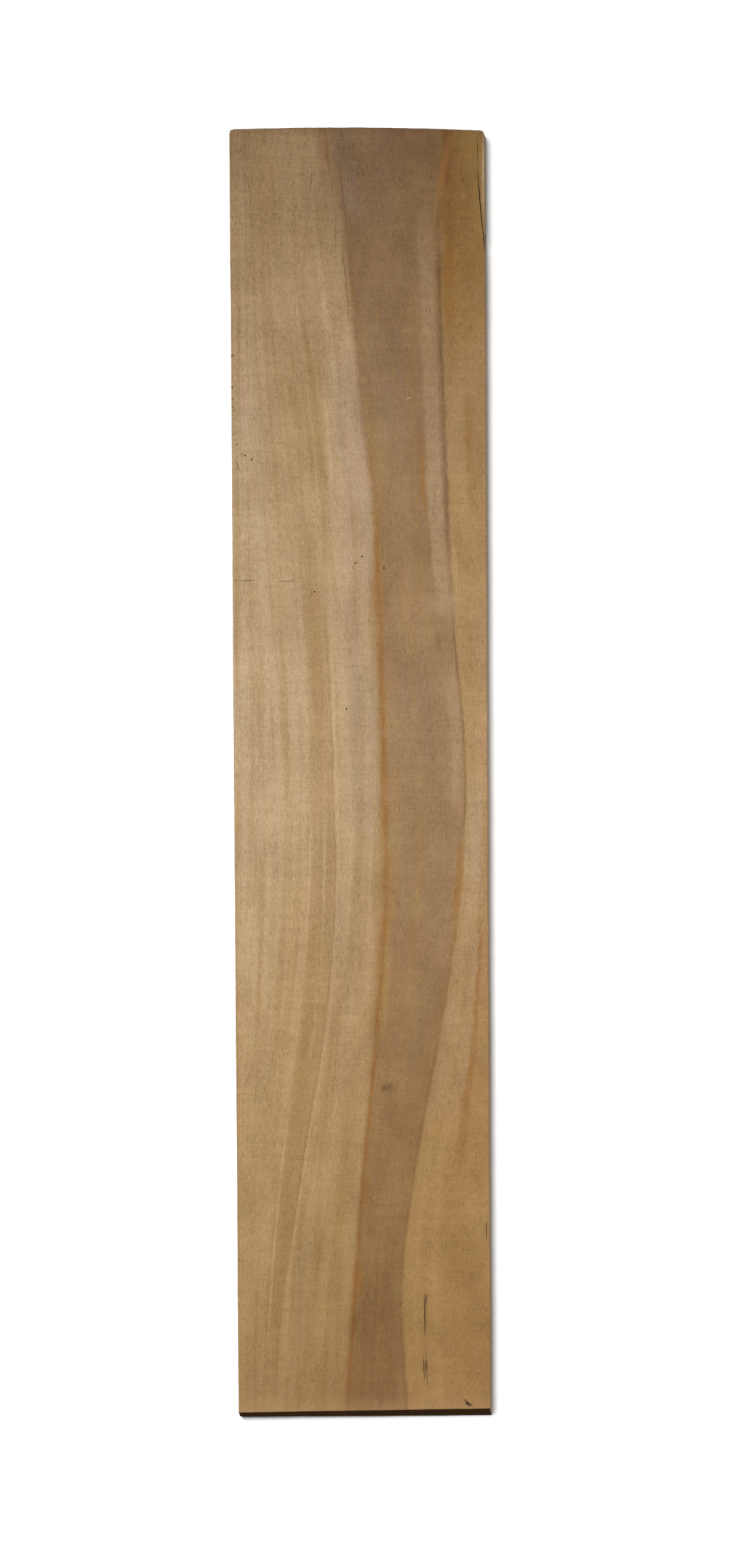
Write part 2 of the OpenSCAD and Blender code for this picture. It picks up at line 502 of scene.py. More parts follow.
@dataclass
class GrainFlow:
    """The way the grain wanders across the board and curves through its thickness.

    Attributes:
        half_length: Half the length of the board, in mm.
        thickness: Thickness of the board, in mm.
        heart: Place of the middle of the heart band, halfway along the board, in mm.
        pith_height: Height of the tree's pith above the upper face, in mm.
        pith_wander: How much that height wanders along the board, in mm.
        relief: Depth of the sawn relief, over which the grain stays as it is on the face, in mm.
        lines: Grain lines from the left edge to the right one.
    """

    half_length: float
    thickness: float
    relief: float = 0.5
    heart: float = 24.0
    pith_height: float = 42.0
    pith_wander: float = 2.5
    lines: tuple[GrainLine, ...] = (
        GrainLine("left edge", -49.5, (-49.5,) * 11),
        GrainLine("last fine line", -20.0, (-37, -34.5, -31.5, -26.5, -22, -20, -20.5, -25, -31.5, -36, -38.5)),
        GrainLine("brown band", -10.5, (-29.5, -26.5, -20.5, -16, -12.5, -10.5, -10, -14.3, -22.8, -30, -33)),
        GrainLine("pale band", -2.0, (-20, -16.5, -10, -6, -4, -2, -4, -9, -15, -21.5, -24)),
        GrainLine("orange vein", 9.0, (-8.5, -3, 1, 6.5, 8, 9, 9.5, 6, 1, -3, -6.5)),
        GrainLine("heart flank", 34.0, (17.5, 20.5, 24.5, 26.5, 30, 34, 29.5, 21.5, 13, 8, 7)),
        GrainLine("dark line", 41.0, (32.7, 31.9, 33, 34.5, 37.2, 40.7, 38, 30.5, 21, 14.5, 16.5)),
        GrainLine("outer stripe", 47.0, (41, 41, 41.8, 43.5, 45, 47, 45.6, 42.4, 36, 35, 37)),
        GrainLine("right edge", 49.5, (49.5,) * 11),
    )

    def _routes_at(self, y: np.ndarray) -> np.ndarray:
        """Where each grain line lies at distances along the board, smoothly between stations."""
        routes = np.array([line.route for line in self.lines], float)
        last = routes.shape[1] - 1
        t = np.clip((self.half_length - y) / (2 * self.half_length), 0, 1) * last
        at = np.minimum(t.astype(int), last - 1)
        f = t - at
        before, here, after, beyond = (
            routes[:, np.clip(at + step, 0, last)] for step in (-1, 0, 1, 2)
        )
        return here + f * (
            (after - before) / 2
            + f * (before - 2.5 * here + 2 * after - beyond / 2 + f * (1.5 * (here - after) + (beyond - before) / 2))
        )

    def across(self, x: np.ndarray, y: np.ndarray) -> np.ndarray:
        """Place across the straightened grain of points on the upper face.

        Args:
            x: How far right of the middle each point lies, in mm.
            y: How far towards the head each point lies, in mm.

        Returns:
            Where the grain through each point lies halfway along the board, in mm.
        """
        routes = self._routes_at(y)
        places = np.array([line.place for line in self.lines])
        secants = np.diff(places)[:, None] / np.diff(routes, axis=0)
        inner = 2 * secants[:-1] * secants[1:] / (secants[:-1] + secants[1:])
        slopes = np.vstack([secants[:1], inner, secants[-1:]])
        gap = np.clip((x[None, :] >= routes).sum(axis=0) - 1, 0, len(places) - 2)
        column = np.arange(len(x))
        width = routes[gap + 1, column] - routes[gap, column]
        t = np.clip((x - routes[gap, column]) / width, -0.2, 1.2)
        rise = places[gap + 1] - places[gap]
        low = slopes[gap, column] * width
        high = slopes[gap + 1, column] * width
        return places[gap] + t * (low + t * (3 * rise - 2 * low - high + t * (low + high - 2 * rise)))

    def field_at(self, points: np.ndarray) -> np.ndarray:
        """Grain coordinates of points of the board.

        Args:
            points: Points in mm, one row each.

        Returns:
            For each point its place across the grain, the same place carried up to the face
            along the growth rings, and its distance from the pith, all in mm.
        """
        x, y, z = points.T
        across = self.across(x, y)
        depth = np.clip(self.thickness - self.relief - z, 0, None)
        side = across - self.heart
        pith = self.pith_height + self.pith_wander * np.sin(y / 61.0 + 0.8) * np.cos(y / 23.0)
        carried = np.sqrt(side**2 + 2 * pith * depth + depth**2)
        ring = np.sqrt(side**2 + (pith + depth) ** 2)
        return np.column_stack([across, self.heart + np.where(side < 0, -1, 1) * carried, ring])


@dataclass(frozen=True)
class Streak:
    """One streak or band of colour along the grain. Places and lengths are in mm.

    Attributes:
        name: What it is on the plank.
        place: Its middle, across the straightened grain.
        half: Half its width.
        soft: Softness of its flanks.
        head: Its end towards the head.
        foot: Its end towards the foot.
        fade: Length over which it fades at its ends.
        breaks: How far it is broken up, from 0 to 1.
        tint: Shade that it turns the wood to.
        strength: How far it does, from 0 to 1.
    """

    name: str
    place: float
    half: float
    soft: float
    head: float
    foot: float
    fade: float
    breaks: float
    tint: Tint
    strength: float


@dataclass(frozen=True)
class Blemish:
    """One mark on the upper face. Places and lengths are in mm, and the turn is in degrees."""

    name: str
    x: float
    y: float
    reach_x: float
    reach_y: float
    turn: float
    soft: float
    tint: Tint
    strength: float


BANDS = (
    # The greyed left flank is partly grey wood and partly painted light from the left.
    Streak("greyed left flank", -42, 10, 8, 330, -190, 150, 0.1, Tint.GREYED, 0.8),
    Streak("yellow patch", -21, 6, 6, 270, 195, 30, 0.5, Tint.YELLOW, 0.35),
    Streak("brown band", -15, 4.3, 2.2, 110, -252, 60, 0.15, Tint.BROWN, 0.8),
    Streak("flank of the brown band", -10.8, 0.4, 0.8, 70, -200, 30, 0.6, Tint.DEEP_BROWN, 0.4),
    Streak("brown cloud of the upper half", -11.5, 7, 5, 178, 98, 30, 0.5, Tint.GOLDEN, 0.5),
    Streak("brown head flank", 5.4, 3.8, 4.2, 330, 203, 32, 0.3, Tint.DEEP_BROWN, 0.55),
    Streak("orange head line", 5.6, 0.5, 0.9, 330, 226, 14, 0.25, Tint.ORANGE, 0.6),
    Streak("pale band", 2.6, 4.2, 2.2, 168, 58, 22, 0.1, Tint.PALE, 0.95),
    Streak("upper light of the pale band", 2.5, 2.4, 1.6, 152, 112, 14, 0.3, Tint.LIGHTEST, 0.4),
    Streak("head pale line", -0.9, 0.9, 1.2, 222, 138, 22, 0.3, Tint.LIGHTEST, 0.5),
    Streak("pale flank", 6, 2.2, 2, 168, 112, 20, 0.1, Tint.PALE, 0.6),
    Streak("light strip", -5.6, 1.0, 1.1, 154, 104, 14, 0.3, Tint.LIGHTEST, 0.6),
    Streak("lower light strip", -3.7, 1.5, 1.4, 118, 42, 20, 0.3, Tint.PALE, 0.7),
    Streak("fine light line", -10, 0.35, 0.6, 210, 60, 40, 0.5, Tint.LIGHTEST, 0.5),
    Streak("left light line", -19, 0.4, 0.6, 208, 148, 20, 0.5, Tint.LIGHTEST, 0.45),
    Streak("inner light line", -7, 0.4, 0.6, 178, 140, 15, 0.4, Tint.LIGHTEST, 0.4),
    Streak("light flank", -9.2, 0.9, 1, 62, -55, 20, 0.4, Tint.LIGHT_LINE, 0.55),
    Streak("cool middle", 0.5, 5, 3, 75, -25, 40, 0.2, Tint.COOL_GREY, 0.45),
    Streak("cool grey stripe", -0.5, 1.4, 1.4, 88, -110, 30, 0.2, Tint.COOL_GREY, 0.5),
    Streak("right light strip", 3.2, 1.7, 1.6, 36, -102, 20, 0.2, Tint.PALE, 0.7),
    Streak("left light strip", -3.2, 0.9, 1.2, 30, -28, 12, 0.3, Tint.PALE, 0.6),
    Streak("pale middle", -6, 3.6, 2.4, -25, -120, 25, 0.2, Tint.PALE, 0.4),
    Streak("brown right of the middle", 4.5, 3.5, 3, -105, -330, 30, 0.3, Tint.BROWN, 0.6),
    Streak("first fine line", -24.5, 0.4, 0.6, -38, -98, 20, 0.3, Tint.LIGHTEST, 0.5),
    Streak("second fine line", -20.0, 0.4, 0.6, 48, -130, 25, 0.3, Tint.LIGHTEST, 0.5),
    Streak("broad fine line", -19.4, 0.6, 0.8, -108, -226, 15, 0.3, Tint.LIGHTEST, 0.55),
    Streak("third fine line", -14.7, 0.4, 0.6, -15, -122, 20, 0.3, Tint.LIGHTEST, 0.5),
    Streak("fourth fine line", -9.7, 0.55, 0.8, -95, -214, 20, 0.3, Tint.LIGHTEST, 0.5),
    Streak("light line by the vein", 7.6, 0.3, 0.6, -55, -148, 15, 0.3, Tint.LIGHT_LINE, 0.45),
    Streak("light patch by the vein", 7, 0.7, 1, -145, -180, 12, 0.3, Tint.LIGHT_LINE, 0.5),
    Streak("pale run", 1.2, 1.2, 1, -96, -130, 10, 0.2, Tint.PALE, 0.5),
    Streak("left flank of the vein", 7.1, 1.8, 2.6, 100, -118, 25, 0.2, Tint.DEEP_BROWN, 0.34),
    Streak("foot light line", 1.7, 0.5, 0.7, -178, -244, 12, 0.25, Tint.LIGHT_LINE, 0.5),
    Streak("foot left light line", -1.5, 0.5, 0.7, -148, -178, 8, 0.2, Tint.LIGHT_LINE, 0.4),
    Streak("foot dark line", 0, 0.5, 0.7, -170, -244, 10, 0.3, Tint.BROWN, 0.6),
    Streak("foot grey patch", -4.5, 2.2, 2, -176, -240, 15, 0.3, Tint.COOL_GREY, 0.4),
    Streak("heart band", 24.8, 17, 3.4, 330, -330, 1, 0.0, Tint.HEART, 1.0),
    Streak("heart by the vein at the edge", 10.2, 1.5, 2.0, 150, 122, 12, 0.2, Tint.BROWN, 0.55),
    Streak("bluish head patch", 13, 5, 4, 330, 208, 14, 0.2, Tint.BLUISH, 1.0),
    Streak("grey head heart", 20, 10, 8, 330, 190, 40, 0.3, Tint.BLUISH, 0.5),
    Streak("grey heart", 21, 9, 7, 215, 105, 50, 0.3, Tint.GREY_HEART, 0.5),
    Streak("deep brown flank", 30.5, 3.5, 4, 222, 60, 40, 0.4, Tint.DEEP_BROWN, 0.45),
    Streak("head right of the heart", 37, 3.5, 3, 330, 215, 30, 0.2, Tint.DEEP_BROWN, 0.4),
    Streak("faint bright band", 38, 1.9, 1.8, 222, 150, 22, 0.3, Tint.BRIGHT_BAND, 0.7),
    Streak("bright band", 37.2, 2.5, 1.8, 178, 52, 25, 0.25, Tint.BRIGHT_BAND, 0.7),
    Streak("inner orange line", 33, 1.1, 1.4, 136, 95, 12, 0.3, Tint.ORANGE, 0.55),
    Streak("orange by the dark line", 41.9, 0.6, 1.0, 122, 58, 20, 0.4, Tint.ORANGE, 0.45),
    Streak("inner brown line", 33, 1.1, 1.6, 102, 76, 12, 0.3, Tint.DEEP_BROWN, 0.5),
    Streak("brown by the vein", 12.5, 2.6, 3, 112, 42, 20, 0.25, Tint.DEEP_BROWN, 0.25),
    Streak("middle grey heart", 26, 8, 7, 62, -55, 30, 0.4, Tint.GREY_HEART, 0.4),
    Streak("light by the dark line", 37.8, 2.1, 1.8, 52, -22, 20, 0.3, Tint.BRIGHT_BAND, 0.45),
    Streak("lower grey heart", 35, 3.5, 4, -20, -128, 25, 0.4, Tint.GREY_HEART, 0.5),
    Streak("deep foot heart", 26, 13, 6, -165, -330, 50, 0.35, Tint.DEEP_BROWN, 0.5),
    Streak("warm right flank", 53, 11.7, 1.3, 330, -330, 1, 0.0, Tint.WARM, 0.95),
    Streak("pale right flank", 44.5, 3, 2.5, 8, -150, 30, 0.1, Tint.PALE, 0.6),
    Streak("yellow foot flank", 45.5, 4.5, 2.5, -120, -330, 40, 0.2, Tint.YELLOW, 0.45),
    Streak("dark right head", 46, 5, 3, 330, 140, 60, 0.1, Tint.AMBER, 0.9),
    Streak("orange head flank", 43.4, 1.9, 2.2, 330, 150, 35, 0.3, Tint.ORANGE, 0.72),
    Streak("dark head flank", 42.6, 1.2, 1.6, 330, 216, 22, 0.15, Tint.RUST, 0.65),
    Streak("outer orange", 46, 2.2, 2.5, 330, 158, 40, 0.3, Tint.ORANGE, 0.3),
    Streak("outer orange line", 47.2, 0.7, 1.0, 150, 95, 15, 0.4, Tint.ORANGE, 0.6),
    Streak("flank of the dark line", 40.5, 0.9, 1.4, 230, 76, 25, 0.3, Tint.DEEP_BROWN, 0.55),
    Streak("light line right", 44.3, 0.5, 0.8, -76, -128, 12, 0.3, Tint.LIGHT_LINE, 0.5),
    Streak("light run right", 42.3, 0.6, 0.8, 90, 66, 8, 0.3, Tint.LIGHT_LINE, 0.4),
    Streak("reddish line right", 47.5, 0.4, 0.6, -46, -158, 18, 0.35, Tint.ORANGE, 0.7),
    Streak("first yellow stripe", 43.2, 0.25, 0.4, -125, -330, 20, 0.4, Tint.YELLOW, 0.5),
    Streak("second yellow stripe", 45.4, 0.3, 0.4, -130, -330, 20, 0.4, Tint.YELLOW, 0.5),
    Streak("brown stripe", 44.2, 0.3, 0.4, -135, -330, 20, 0.4, Tint.BROWN, 0.5),
    Streak("head dark line", 9.1, 0.35, 0.5, 238, 208, 8, 0.3, Tint.DARK, 0.5),
    Streak("second head dark line", 6.8, 0.3, 0.5, 207, 172, 10, 0.4, Tint.DARK, 0.45),
    Streak("head rust", 9.2, 0.8, 1, 202, 176, 8, 0.4, Tint.RUST, 0.35),
    Streak("faint vein head", 9.2, 0.9, 1.6, 140, 90, 25, 0.4, Tint.ORANGE, 0.4),
    Streak("orange vein", 9, 1.5, 2.0, 112, -118, 24, 0.25, Tint.ORANGE, 0.72),
    Streak("lower orange vein", 9, 0.8, 1.2, -94, -330, 24, 0.35, Tint.ORANGE, 0.75),
    Streak("vein core", 8.9, 0.45, 0.8, 92, -5, 12, 0.4, Tint.RUST, 0.4),
    Streak("left stain of the vein", 6.8, 1.4, 2, 84, 40, 14, 0.5, Tint.ORANGE, 0.38),
    Streak("lower vein core", 9.2, 0.6, 0.9, -9, -104, 12, 0.35, Tint.RUST, 0.4),
    Streak("right stain of the vein", 11, 1.9, 2.6, -20, -112, 20, 0.3, Tint.GOLDEN, 0.5),
    Streak("first foot stain", 11, 2.2, 2.2, -154, -170, 7, 0.3, Tint.ORANGE, 0.5),
    Streak("second foot stain", 11, 2.6, 2.2, -187, -207, 8, 0.3, Tint.ORANGE, 0.6),
    Streak("third foot stain", 10.5, 2, 2.2, -207, -221, 6, 0.3, Tint.RUST, 0.42),
    Streak("faint dark line", 40.7, 0.35, 0.7, 230, 200, 14, 0.4, Tint.DEEP_BROWN, 0.5),
    Streak("dark line", 40.9, 0.5, 0.7, 208, 78, 12, 0.55, Tint.DARK, 0.52),
    Streak("lower dark line", 40.9, 0.42, 0.7, 62, -28, 10, 0.45, Tint.DARK, 0.62),
    Streak("orange end of the dark line", 40.4, 1.2, 1.2, -25, -60, 8, 0.25, Tint.ORANGE, 0.7),
    Streak("foot boundary", 40.9, 0.4, 0.8, -48, -330, 15, 0.35, Tint.RUST, 0.55),
)

BLEMISHES = (
    Blemish("slanted dark line", -8.4, 209, 0.35, 19, 0, 0.8, Tint.DARK, 0.45),
    Blemish("fuzzy dash", -17.9, 229, 0.7, 5.5, -6, 0.9, Tint.DARK, 0.5),
    Blemish("thin dash", -9.6, 227.5, 0.3, 3.2, -4, 0.7, Tint.DARK, 0.55),
    Blemish("short dash", 0.6, 212, 0.35, 1.4, 0, 0.8, Tint.SOOT, 0.55),
    Blemish("upper short dash", 0.7, 221.6, 0.4, 2, 0, 0.9, Tint.SOOT, 0.45),
    Blemish("upper head dash", 40.1, 246.6, 0.25, 1.2, -8, 0.7, Tint.DARK, 0.6),
    Blemish("head dash", 39.7, 237.8, 0.4, 3.4, 0, 0.7, Tint.RUST, 0.85),
    Blemish("orange head stripe", 33.5, 233, 2.2, 22, -9.5, 1.0, Tint.RUST, 0.9),
    Blemish("purple line", 30.2, 217.5, 1.1, 15, -7.5, 1.0, Tint.DEEP_BROWN, 0.55),
    Blemish("orange patch", 37.9, 198.3, 1.1, 5, -12, 1.0, Tint.ORANGE, 0.5),
    Blemish("red patch", 41.1, 222.6, 1.2, 3, 0, 1.0, Tint.REDDISH, 0.3),
    Blemish("pale tongue", 50, 231, 2.3, 25, 0, 0.7, Tint.GREYED, 0.6),
    Blemish("orange spot of the tongue", 48.2, 238.5, 0.5, 3.4, 0, 1.0, Tint.ORANGE, 0.4),
    Blemish("smudge by the split", 46.9, 230, 1.6, 1.6, 0, 1.0, Tint.DARK, 0.35),
    Blemish("right dash", 35.9, 151.3, 0.35, 2.2, 0, 0.7, Tint.DARK, 0.5),
    Blemish("left head speck", -36.1, 244.7, 0.6, 0.6, 0, 0.7, Tint.SOOT, 0.55),
    Blemish("second speck", -12.7, 219.1, 0.45, 0.45, 0, 0.7, Tint.DARK, 0.6),
    Blemish("third speck", 1.7, 233.2, 0.4, 0.6, 0, 0.7, Tint.DARK, 0.6),
    Blemish("fourth speck", 0.5, 205.7, 0.5, 0.6, 0, 0.7, Tint.SOOT, 0.55),
    Blemish("fifth speck", 17.3, 228.9, 0.7, 0.4, 0, 0.8, Tint.DARK, 0.6),
    Blemish("sixth speck", 7.2, 158.2, 0.45, 0.45, 0, 0.7, Tint.DARK, 0.6),
    Blemish("seventh speck", 7.8, 150.2, 0.45, 0.5, 0, 0.7, Tint.DARK, 0.6),
    Blemish("right edge speck", 47.8, 192.3, 0.5, 0.6, 0, 0.7, Tint.DARK, 0.5),
    Blemish("eighth speck", 32.4, 167.2, 0.45, 0.5, 0, 0.7, Tint.SOOT, 0.55),
    Blemish("ninth speck", 17.6, 40.7, 0.6, 0.6, 0, 0.8, Tint.DARK, 0.45),
    Blemish("tenth speck", -27.9, 34.5, 0.5, 0.5, 0, 0.8, Tint.DARK, 0.35),
    Blemish("fuzzy spot", -34.6, 104.8, 1.1, 1.4, 0, 0.9, Tint.DARK, 0.3),
    # The arris spots paint shade into the nicks of the left arris.
    Blemish("first arris spot", -48.8, 161.3, 0.9, 0.6, 0, 0.8, Tint.SOOT, 0.75),
    Blemish("second arris spot", -48.9, 149.1, 1.0, 0.8, 0, 0.8, Tint.SOOT, 0.75),
    Blemish("third arris spot", -48.6, 144.7, 0.9, 0.4, 0, 0.8, Tint.SOOT, 0.8),
    Blemish("light nick", -49.1, 145.9, 0.8, 0.5, 0, 0.8, Tint.LIGHT_LINE, 0.7),
    Blemish("fourth arris spot", -48.8, 141.4, 0.7, 0.5, 0, 0.8, Tint.SOOT, 0.75),
    Blemish("fifth arris spot", -48.3, 140.1, 0.6, 0.5, 0, 0.8, Tint.SOOT, 0.7),
    Blemish("sixth arris spot", -48.1, 136.7, 0.7, 0.4, 0, 0.8, Tint.SOOT, 0.7),
    Blemish("seventh arris spot", -48.3, 131, 0.5, 1.0, 0, 0.9, Tint.DARK, 0.6),
    Blemish("inner arris spot", -47.2, 126.9, 0.7, 0.5, 0, 0.8, Tint.SOOT, 0.75),
    Blemish("fuzz by the pin hole", -45.2, 123, 1.6, 0.4, 0, 0.9, Tint.DARK, 0.5),
    Blemish("slanted tear", -46.9, 118.6, 0.5, 2.8, 18, 1.0, Tint.SOOT, 0.7),
    Blemish("edge scuff", -47.8, 74.2, 1.2, 0.4, 0, 0.8, Tint.DARK, 0.4),
    Blemish("left scratch", -42.8, 74.1, 5, 0.45, 3, 0.9, Tint.DARK, 0.7),
    Blemish("middle scratch", -27.9, 73.8, 4.6, 0.42, 1, 0.9, Tint.DARK, 0.6),
    Blemish("brown spot", 30.5, 50, 1.9, 6, 8, 1.0, Tint.DEEP_BROWN, 0.85),
    Blemish("light smear", 32, 64.5, 10, 6.5, 10, 1.0, Tint.BRIGHT_BAND, 0.38),
    Blemish("first stray fibre", 19.4, 144.3, 1.7, 0.22, 22, 0.7, Tint.LIGHTEST, 0.75),
    Blemish("second stray fibre", 4.2, -165.8, 1.4, 0.22, 35, 0.7, Tint.LIGHTEST, 0.5),
    Blemish("knot halo", 9.4, -123, 4.0, 3.6, 0, 0.9, Tint.DARK, 0.4),
    Blemish("knot", 8.4, -123.2, 1.7, 1.5, 0, 1.0, Tint.DARK, 0.7),
    Blemish("side of the knot", 10.6, -122.6, 1.1, 1.8, 0, 1.0, Tint.DARK, 0.5),
    Blemish("golden patch", 28.7, -139.6, 2.5, 8, 0, 1.0, Tint.AMBER, 0.5),
    Blemish("first light speck", -42.3, -63.9, 0.5, 0.4, 0, 0.7, Tint.LIGHT_LINE, 0.8),
    Blemish("second light speck", 37.9, -111.1, 0.4, 0.4, 0, 0.7, Tint.LIGHT_LINE, 0.8),
    # The marks along the shakes and in the gouge paint shade into those openings.
    Blemish("mouth of the long shake", 24.1, -205.0, 0.8, 3.4, 0, 0.9, Tint.SOOT, 0.75),
    Blemish("line of the long shake", 23.9, -211, 0.6, 13, 0, 1.0, Tint.DARK, 0.6),
    Blemish("mouth of the short shake", 23.9, -230.5, 0.9, 3.2, 0, 0.9, Tint.SOOT, 0.8),
    Blemish("line of the short shake", 24.1, -232.5, 0.55, 11, 3, 0.9, Tint.DARK, 0.65),
    Blemish("foot dash", 6.1, -244.5, 0.6, 3.4, 0, 0.9, Tint.DARK, 0.5),
    Blemish("line by the heart at the foot", 16.2, -240, 0.5, 7, 4.5, 0.9, Tint.RUST, 0.6),
    Blemish("upper gouge stain", 38.9, -244.2, 0.9, 0.7, -35, 0.9, Tint.SOOT, 0.8),
    Blemish("lower gouge stain", 41.2, -246, 1.5, 0.7, -25, 0.9, Tint.SOOT, 0.85),
)


@dataclass(frozen=True)
class SawnFinish:
    """Finish of a sawn face of the board.

    Attributes:
        name: Name of the material.
        marks: Whether the marks of the upper face are on it.
        greying: How far it is turned towards a dull grey-brown, from 0 to 1.
        relief: Depth of its fine relief, in mm.
    """

    name: str
    marks: bool
    greying: float
    relief: float

    def dress(self, material: bpy.types.Material) -> None:
        """Fill a material with the finish."""
        material.use_nodes = True
        material.node_tree.nodes.clear()
        w = Wiring(material.node_tree)
        grain = w.node("ShaderNodeAttribute", attribute_name="grain").outputs["Vector"]
        place = w.node("ShaderNodeTexCoord").outputs["Object"]
        spot = w.vector("SCALE", place)
        spot.node.inputs["Scale"].default_value = 1 / MM
        across, carried, ring = w.split(grain)
        x, y, z = w.split(spot)
        flow = w.join(across, y, z)
        bend = w.math("MULTIPLY", w.math("MULTIPLY", y, y), GRAIN_BEND)
        fibre = w.join(w.math("ADD", x, bend), y, z)
        wander = w.noise(w.join(w.math("MULTIPLY", across, 0.16), w.math("MULTIPLY", y, 0.1), 4.0), 3.0)
        stray = w.math("MULTIPLY", w.math("SUBTRACT", wander, 0.5), w.ease(y, -60.0, -130.0, 1.6, 0.6))
        strayed = w.math("ADD", carried, stray)

        patches = w.noise(w.join(w.math("MULTIPLY", across, 0.45), w.math("MULTIPLY", y, 0.11), 9.0), 3.0, 0.6)
        wear = w.ease(patches, 0.6, 0.36)

        colour = Tint.SAPWOOD.value
        for number, streak in enumerate(BANDS):
            if number % 28 == 27:
                strayed = w.math("ADD", strayed, self._lead(w, colour, 0.2))
            colour = w.effect(
                GrainStreak(), Colour=colour, Tint=streak.tint.value, Across=strayed, Along=y, Wear=wear,
                Place=streak.place, Half_Width=streak.half, Softness=streak.soft, Head_End=streak.head,
                Foot_End=streak.foot, Fade=streak.fade, Breaks=streak.breaks, Strength=streak.strength,
            ).outputs["Colour"]

        clouds = w.noise(w.join(w.math("MULTIPLY", across, 0.11), w.math("MULTIPLY", y, 0.05), 0.0), 3.0, 0.55, True)
        colour = w.mix(w.ease(clouds, 0.5, 0.75, 0.0, 0.22), colour, Tint.PINKISH.value)
        colour = w.mix(w.ease(clouds, 0.5, 0.25, 0.0, 0.22), colour, Tint.GREENISH.value)

        rings = w.effect(GrowthRings(), Ring=ring, Turn=0.0, Along=y, Width=3.1)
        fine = w.effect(Fibres(), Flow=fibre, Width=0.55, Length=3.2, Seed=0.0).outputs["Tone"]
        broad = w.effect(Fibres(), Flow=flow, Width=3.2, Length=95.0, Seed=31.0).outputs["Tone"]
        grit = w.noise(w.vector("MULTIPLY", fibre, (1.5, 0.9, 0.9)), 2.0, 0.6)
        flecks = w.effect(RayFlecks(), Flow=fibre, Width=0.42, Length=1.9, Share=0.28, Seed=5.0).outputs["Mask"]
        saw = w.effect(SawMarks(), Place=spot, Pitch=5.8).outputs["Height"]
        colour = w.mix(w.ease(broad, 0.55, 0.3, 0.0, 0.38), colour, Tint.GOLDEN.value)
        tone = w.math("MULTIPLY", w.math("SUBTRACT", fine, 0.5), 0.46)
        for part, share in ((broad, 0.15), (grit, 0.8), (saw, 0.34), (patches, 0.1)):
            tone = w.math("ADD", tone, w.math("MULTIPLY", w.math("SUBTRACT", part, 0.5), share))
        tone = w.math("SUBTRACT", tone, w.math("MULTIPLY", flecks, 0.2))
        tone = w.math("SUBTRACT", tone, w.math("MULTIPLY", rings.outputs["Lines"], 0.05))
        tone = w.math("MULTIPLY", tone, w.ease(y, 120.0, 245.0, 1.0, 1.3))
        warm = w.vector("MULTIPLY", w.join(tone, tone, tone), (0.85, 1.0, 1.25))
        colour = w.mix(1.0, colour, w.vector("ADD", warm, (1.0, 1.0, 1.0)), "MULTIPLY")

        # Painted light falloff along the board: the face is darkest at the head and the foot and brightest just past
        # the middle.
        light_falloff_ramp = w.node("ShaderNodeValToRGB")
        w.feed(light_falloff_ramp.inputs[0], w.math("DIVIDE", w.math("ADD", y, 250.0), 500.0))
        self._paint_light_falloff(light_falloff_ramp.color_ramp)
        colour = w.mix(1.0, colour, light_falloff_ramp.outputs["Color"], "MULTIPLY")
        colour = w.mix(w.ease(y, 245.5, 250.0, 0.0, 0.3), colour, Tint.DARK.value)
        colour = w.mix(w.ease(y, -240.0, -249.0, 0.0, 0.35), colour, Tint.WARM.value)
        if self.greying:
            colour = w.mix(self.greying, colour, tint(110, 92, 70))

        if self.marks:
            plain = colour
            ragged = w.math("MULTIPLY", w.math("SUBTRACT", w.noise(spot, 3.0, 0.6), 0.5), 0.7)
            for number, blemish in enumerate(BLEMISHES):
                if number % 20 == 0:
                    lead = self._lead(w, colour, 0.4)
                    spot = w.vector("ADD", spot, w.join(lead, lead, 0.0))
                colour = w.effect(
                    Mark(), Colour=colour, Tint=blemish.tint.value, Spot=spot, Ragged=ragged, X=blemish.x,
                    Y=blemish.y, Reach_X=blemish.reach_x, Reach_Y=blemish.reach_y,
                    Turn=math.radians(blemish.turn), Softness=blemish.soft, Strength=blemish.strength,
                ).outputs["Colour"]
            colour = w.mix(w.ease(z, 20.0, 24.0), plain, colour)

        shader = w.node("ShaderNodeBsdfPrincipled")
        w.feed(shader.inputs["Base Color"], colour)
        w.feed(shader.inputs["Roughness"], w.ease(grit, 0.3, 0.7, 0.72, 0.9))
        shader.inputs["Specular IOR Level"].default_value = 0.3
        height = w.math("ADD", fine, w.math("MULTIPLY", saw, 0.8))
        height = w.math("ADD", height, w.math("MULTIPLY", grit, 0.6))
        height = w.math("SUBTRACT", height, w.math("MULTIPLY", flecks, 0.5))
        bump = w.node("ShaderNodeBump")
        bump.inputs["Strength"].default_value = 0.6
        bump.inputs["Distance"].default_value = self.relief * MM
        w.feed(bump.inputs["Height"], height)
        w.feed(shader.inputs["Normal"], bump.outputs["Normal"])
        w.feed(w.node("ShaderNodeOutputMaterial").inputs["Surface"], shader.outputs["BSDF"])

    def _lead(self, w: Wiring, colour: Source, reach: float) -> bpy.types.NodeSocket:
        """How far the outlines of what comes next give way to the wood under them, in mm.

        It also makes the shader work in stages, which keeps it within the size Cycles allows.
        """
        return w.math("MULTIPLY", w.math("SUBTRACT", w.split(colour)[0], 0.3), reach)

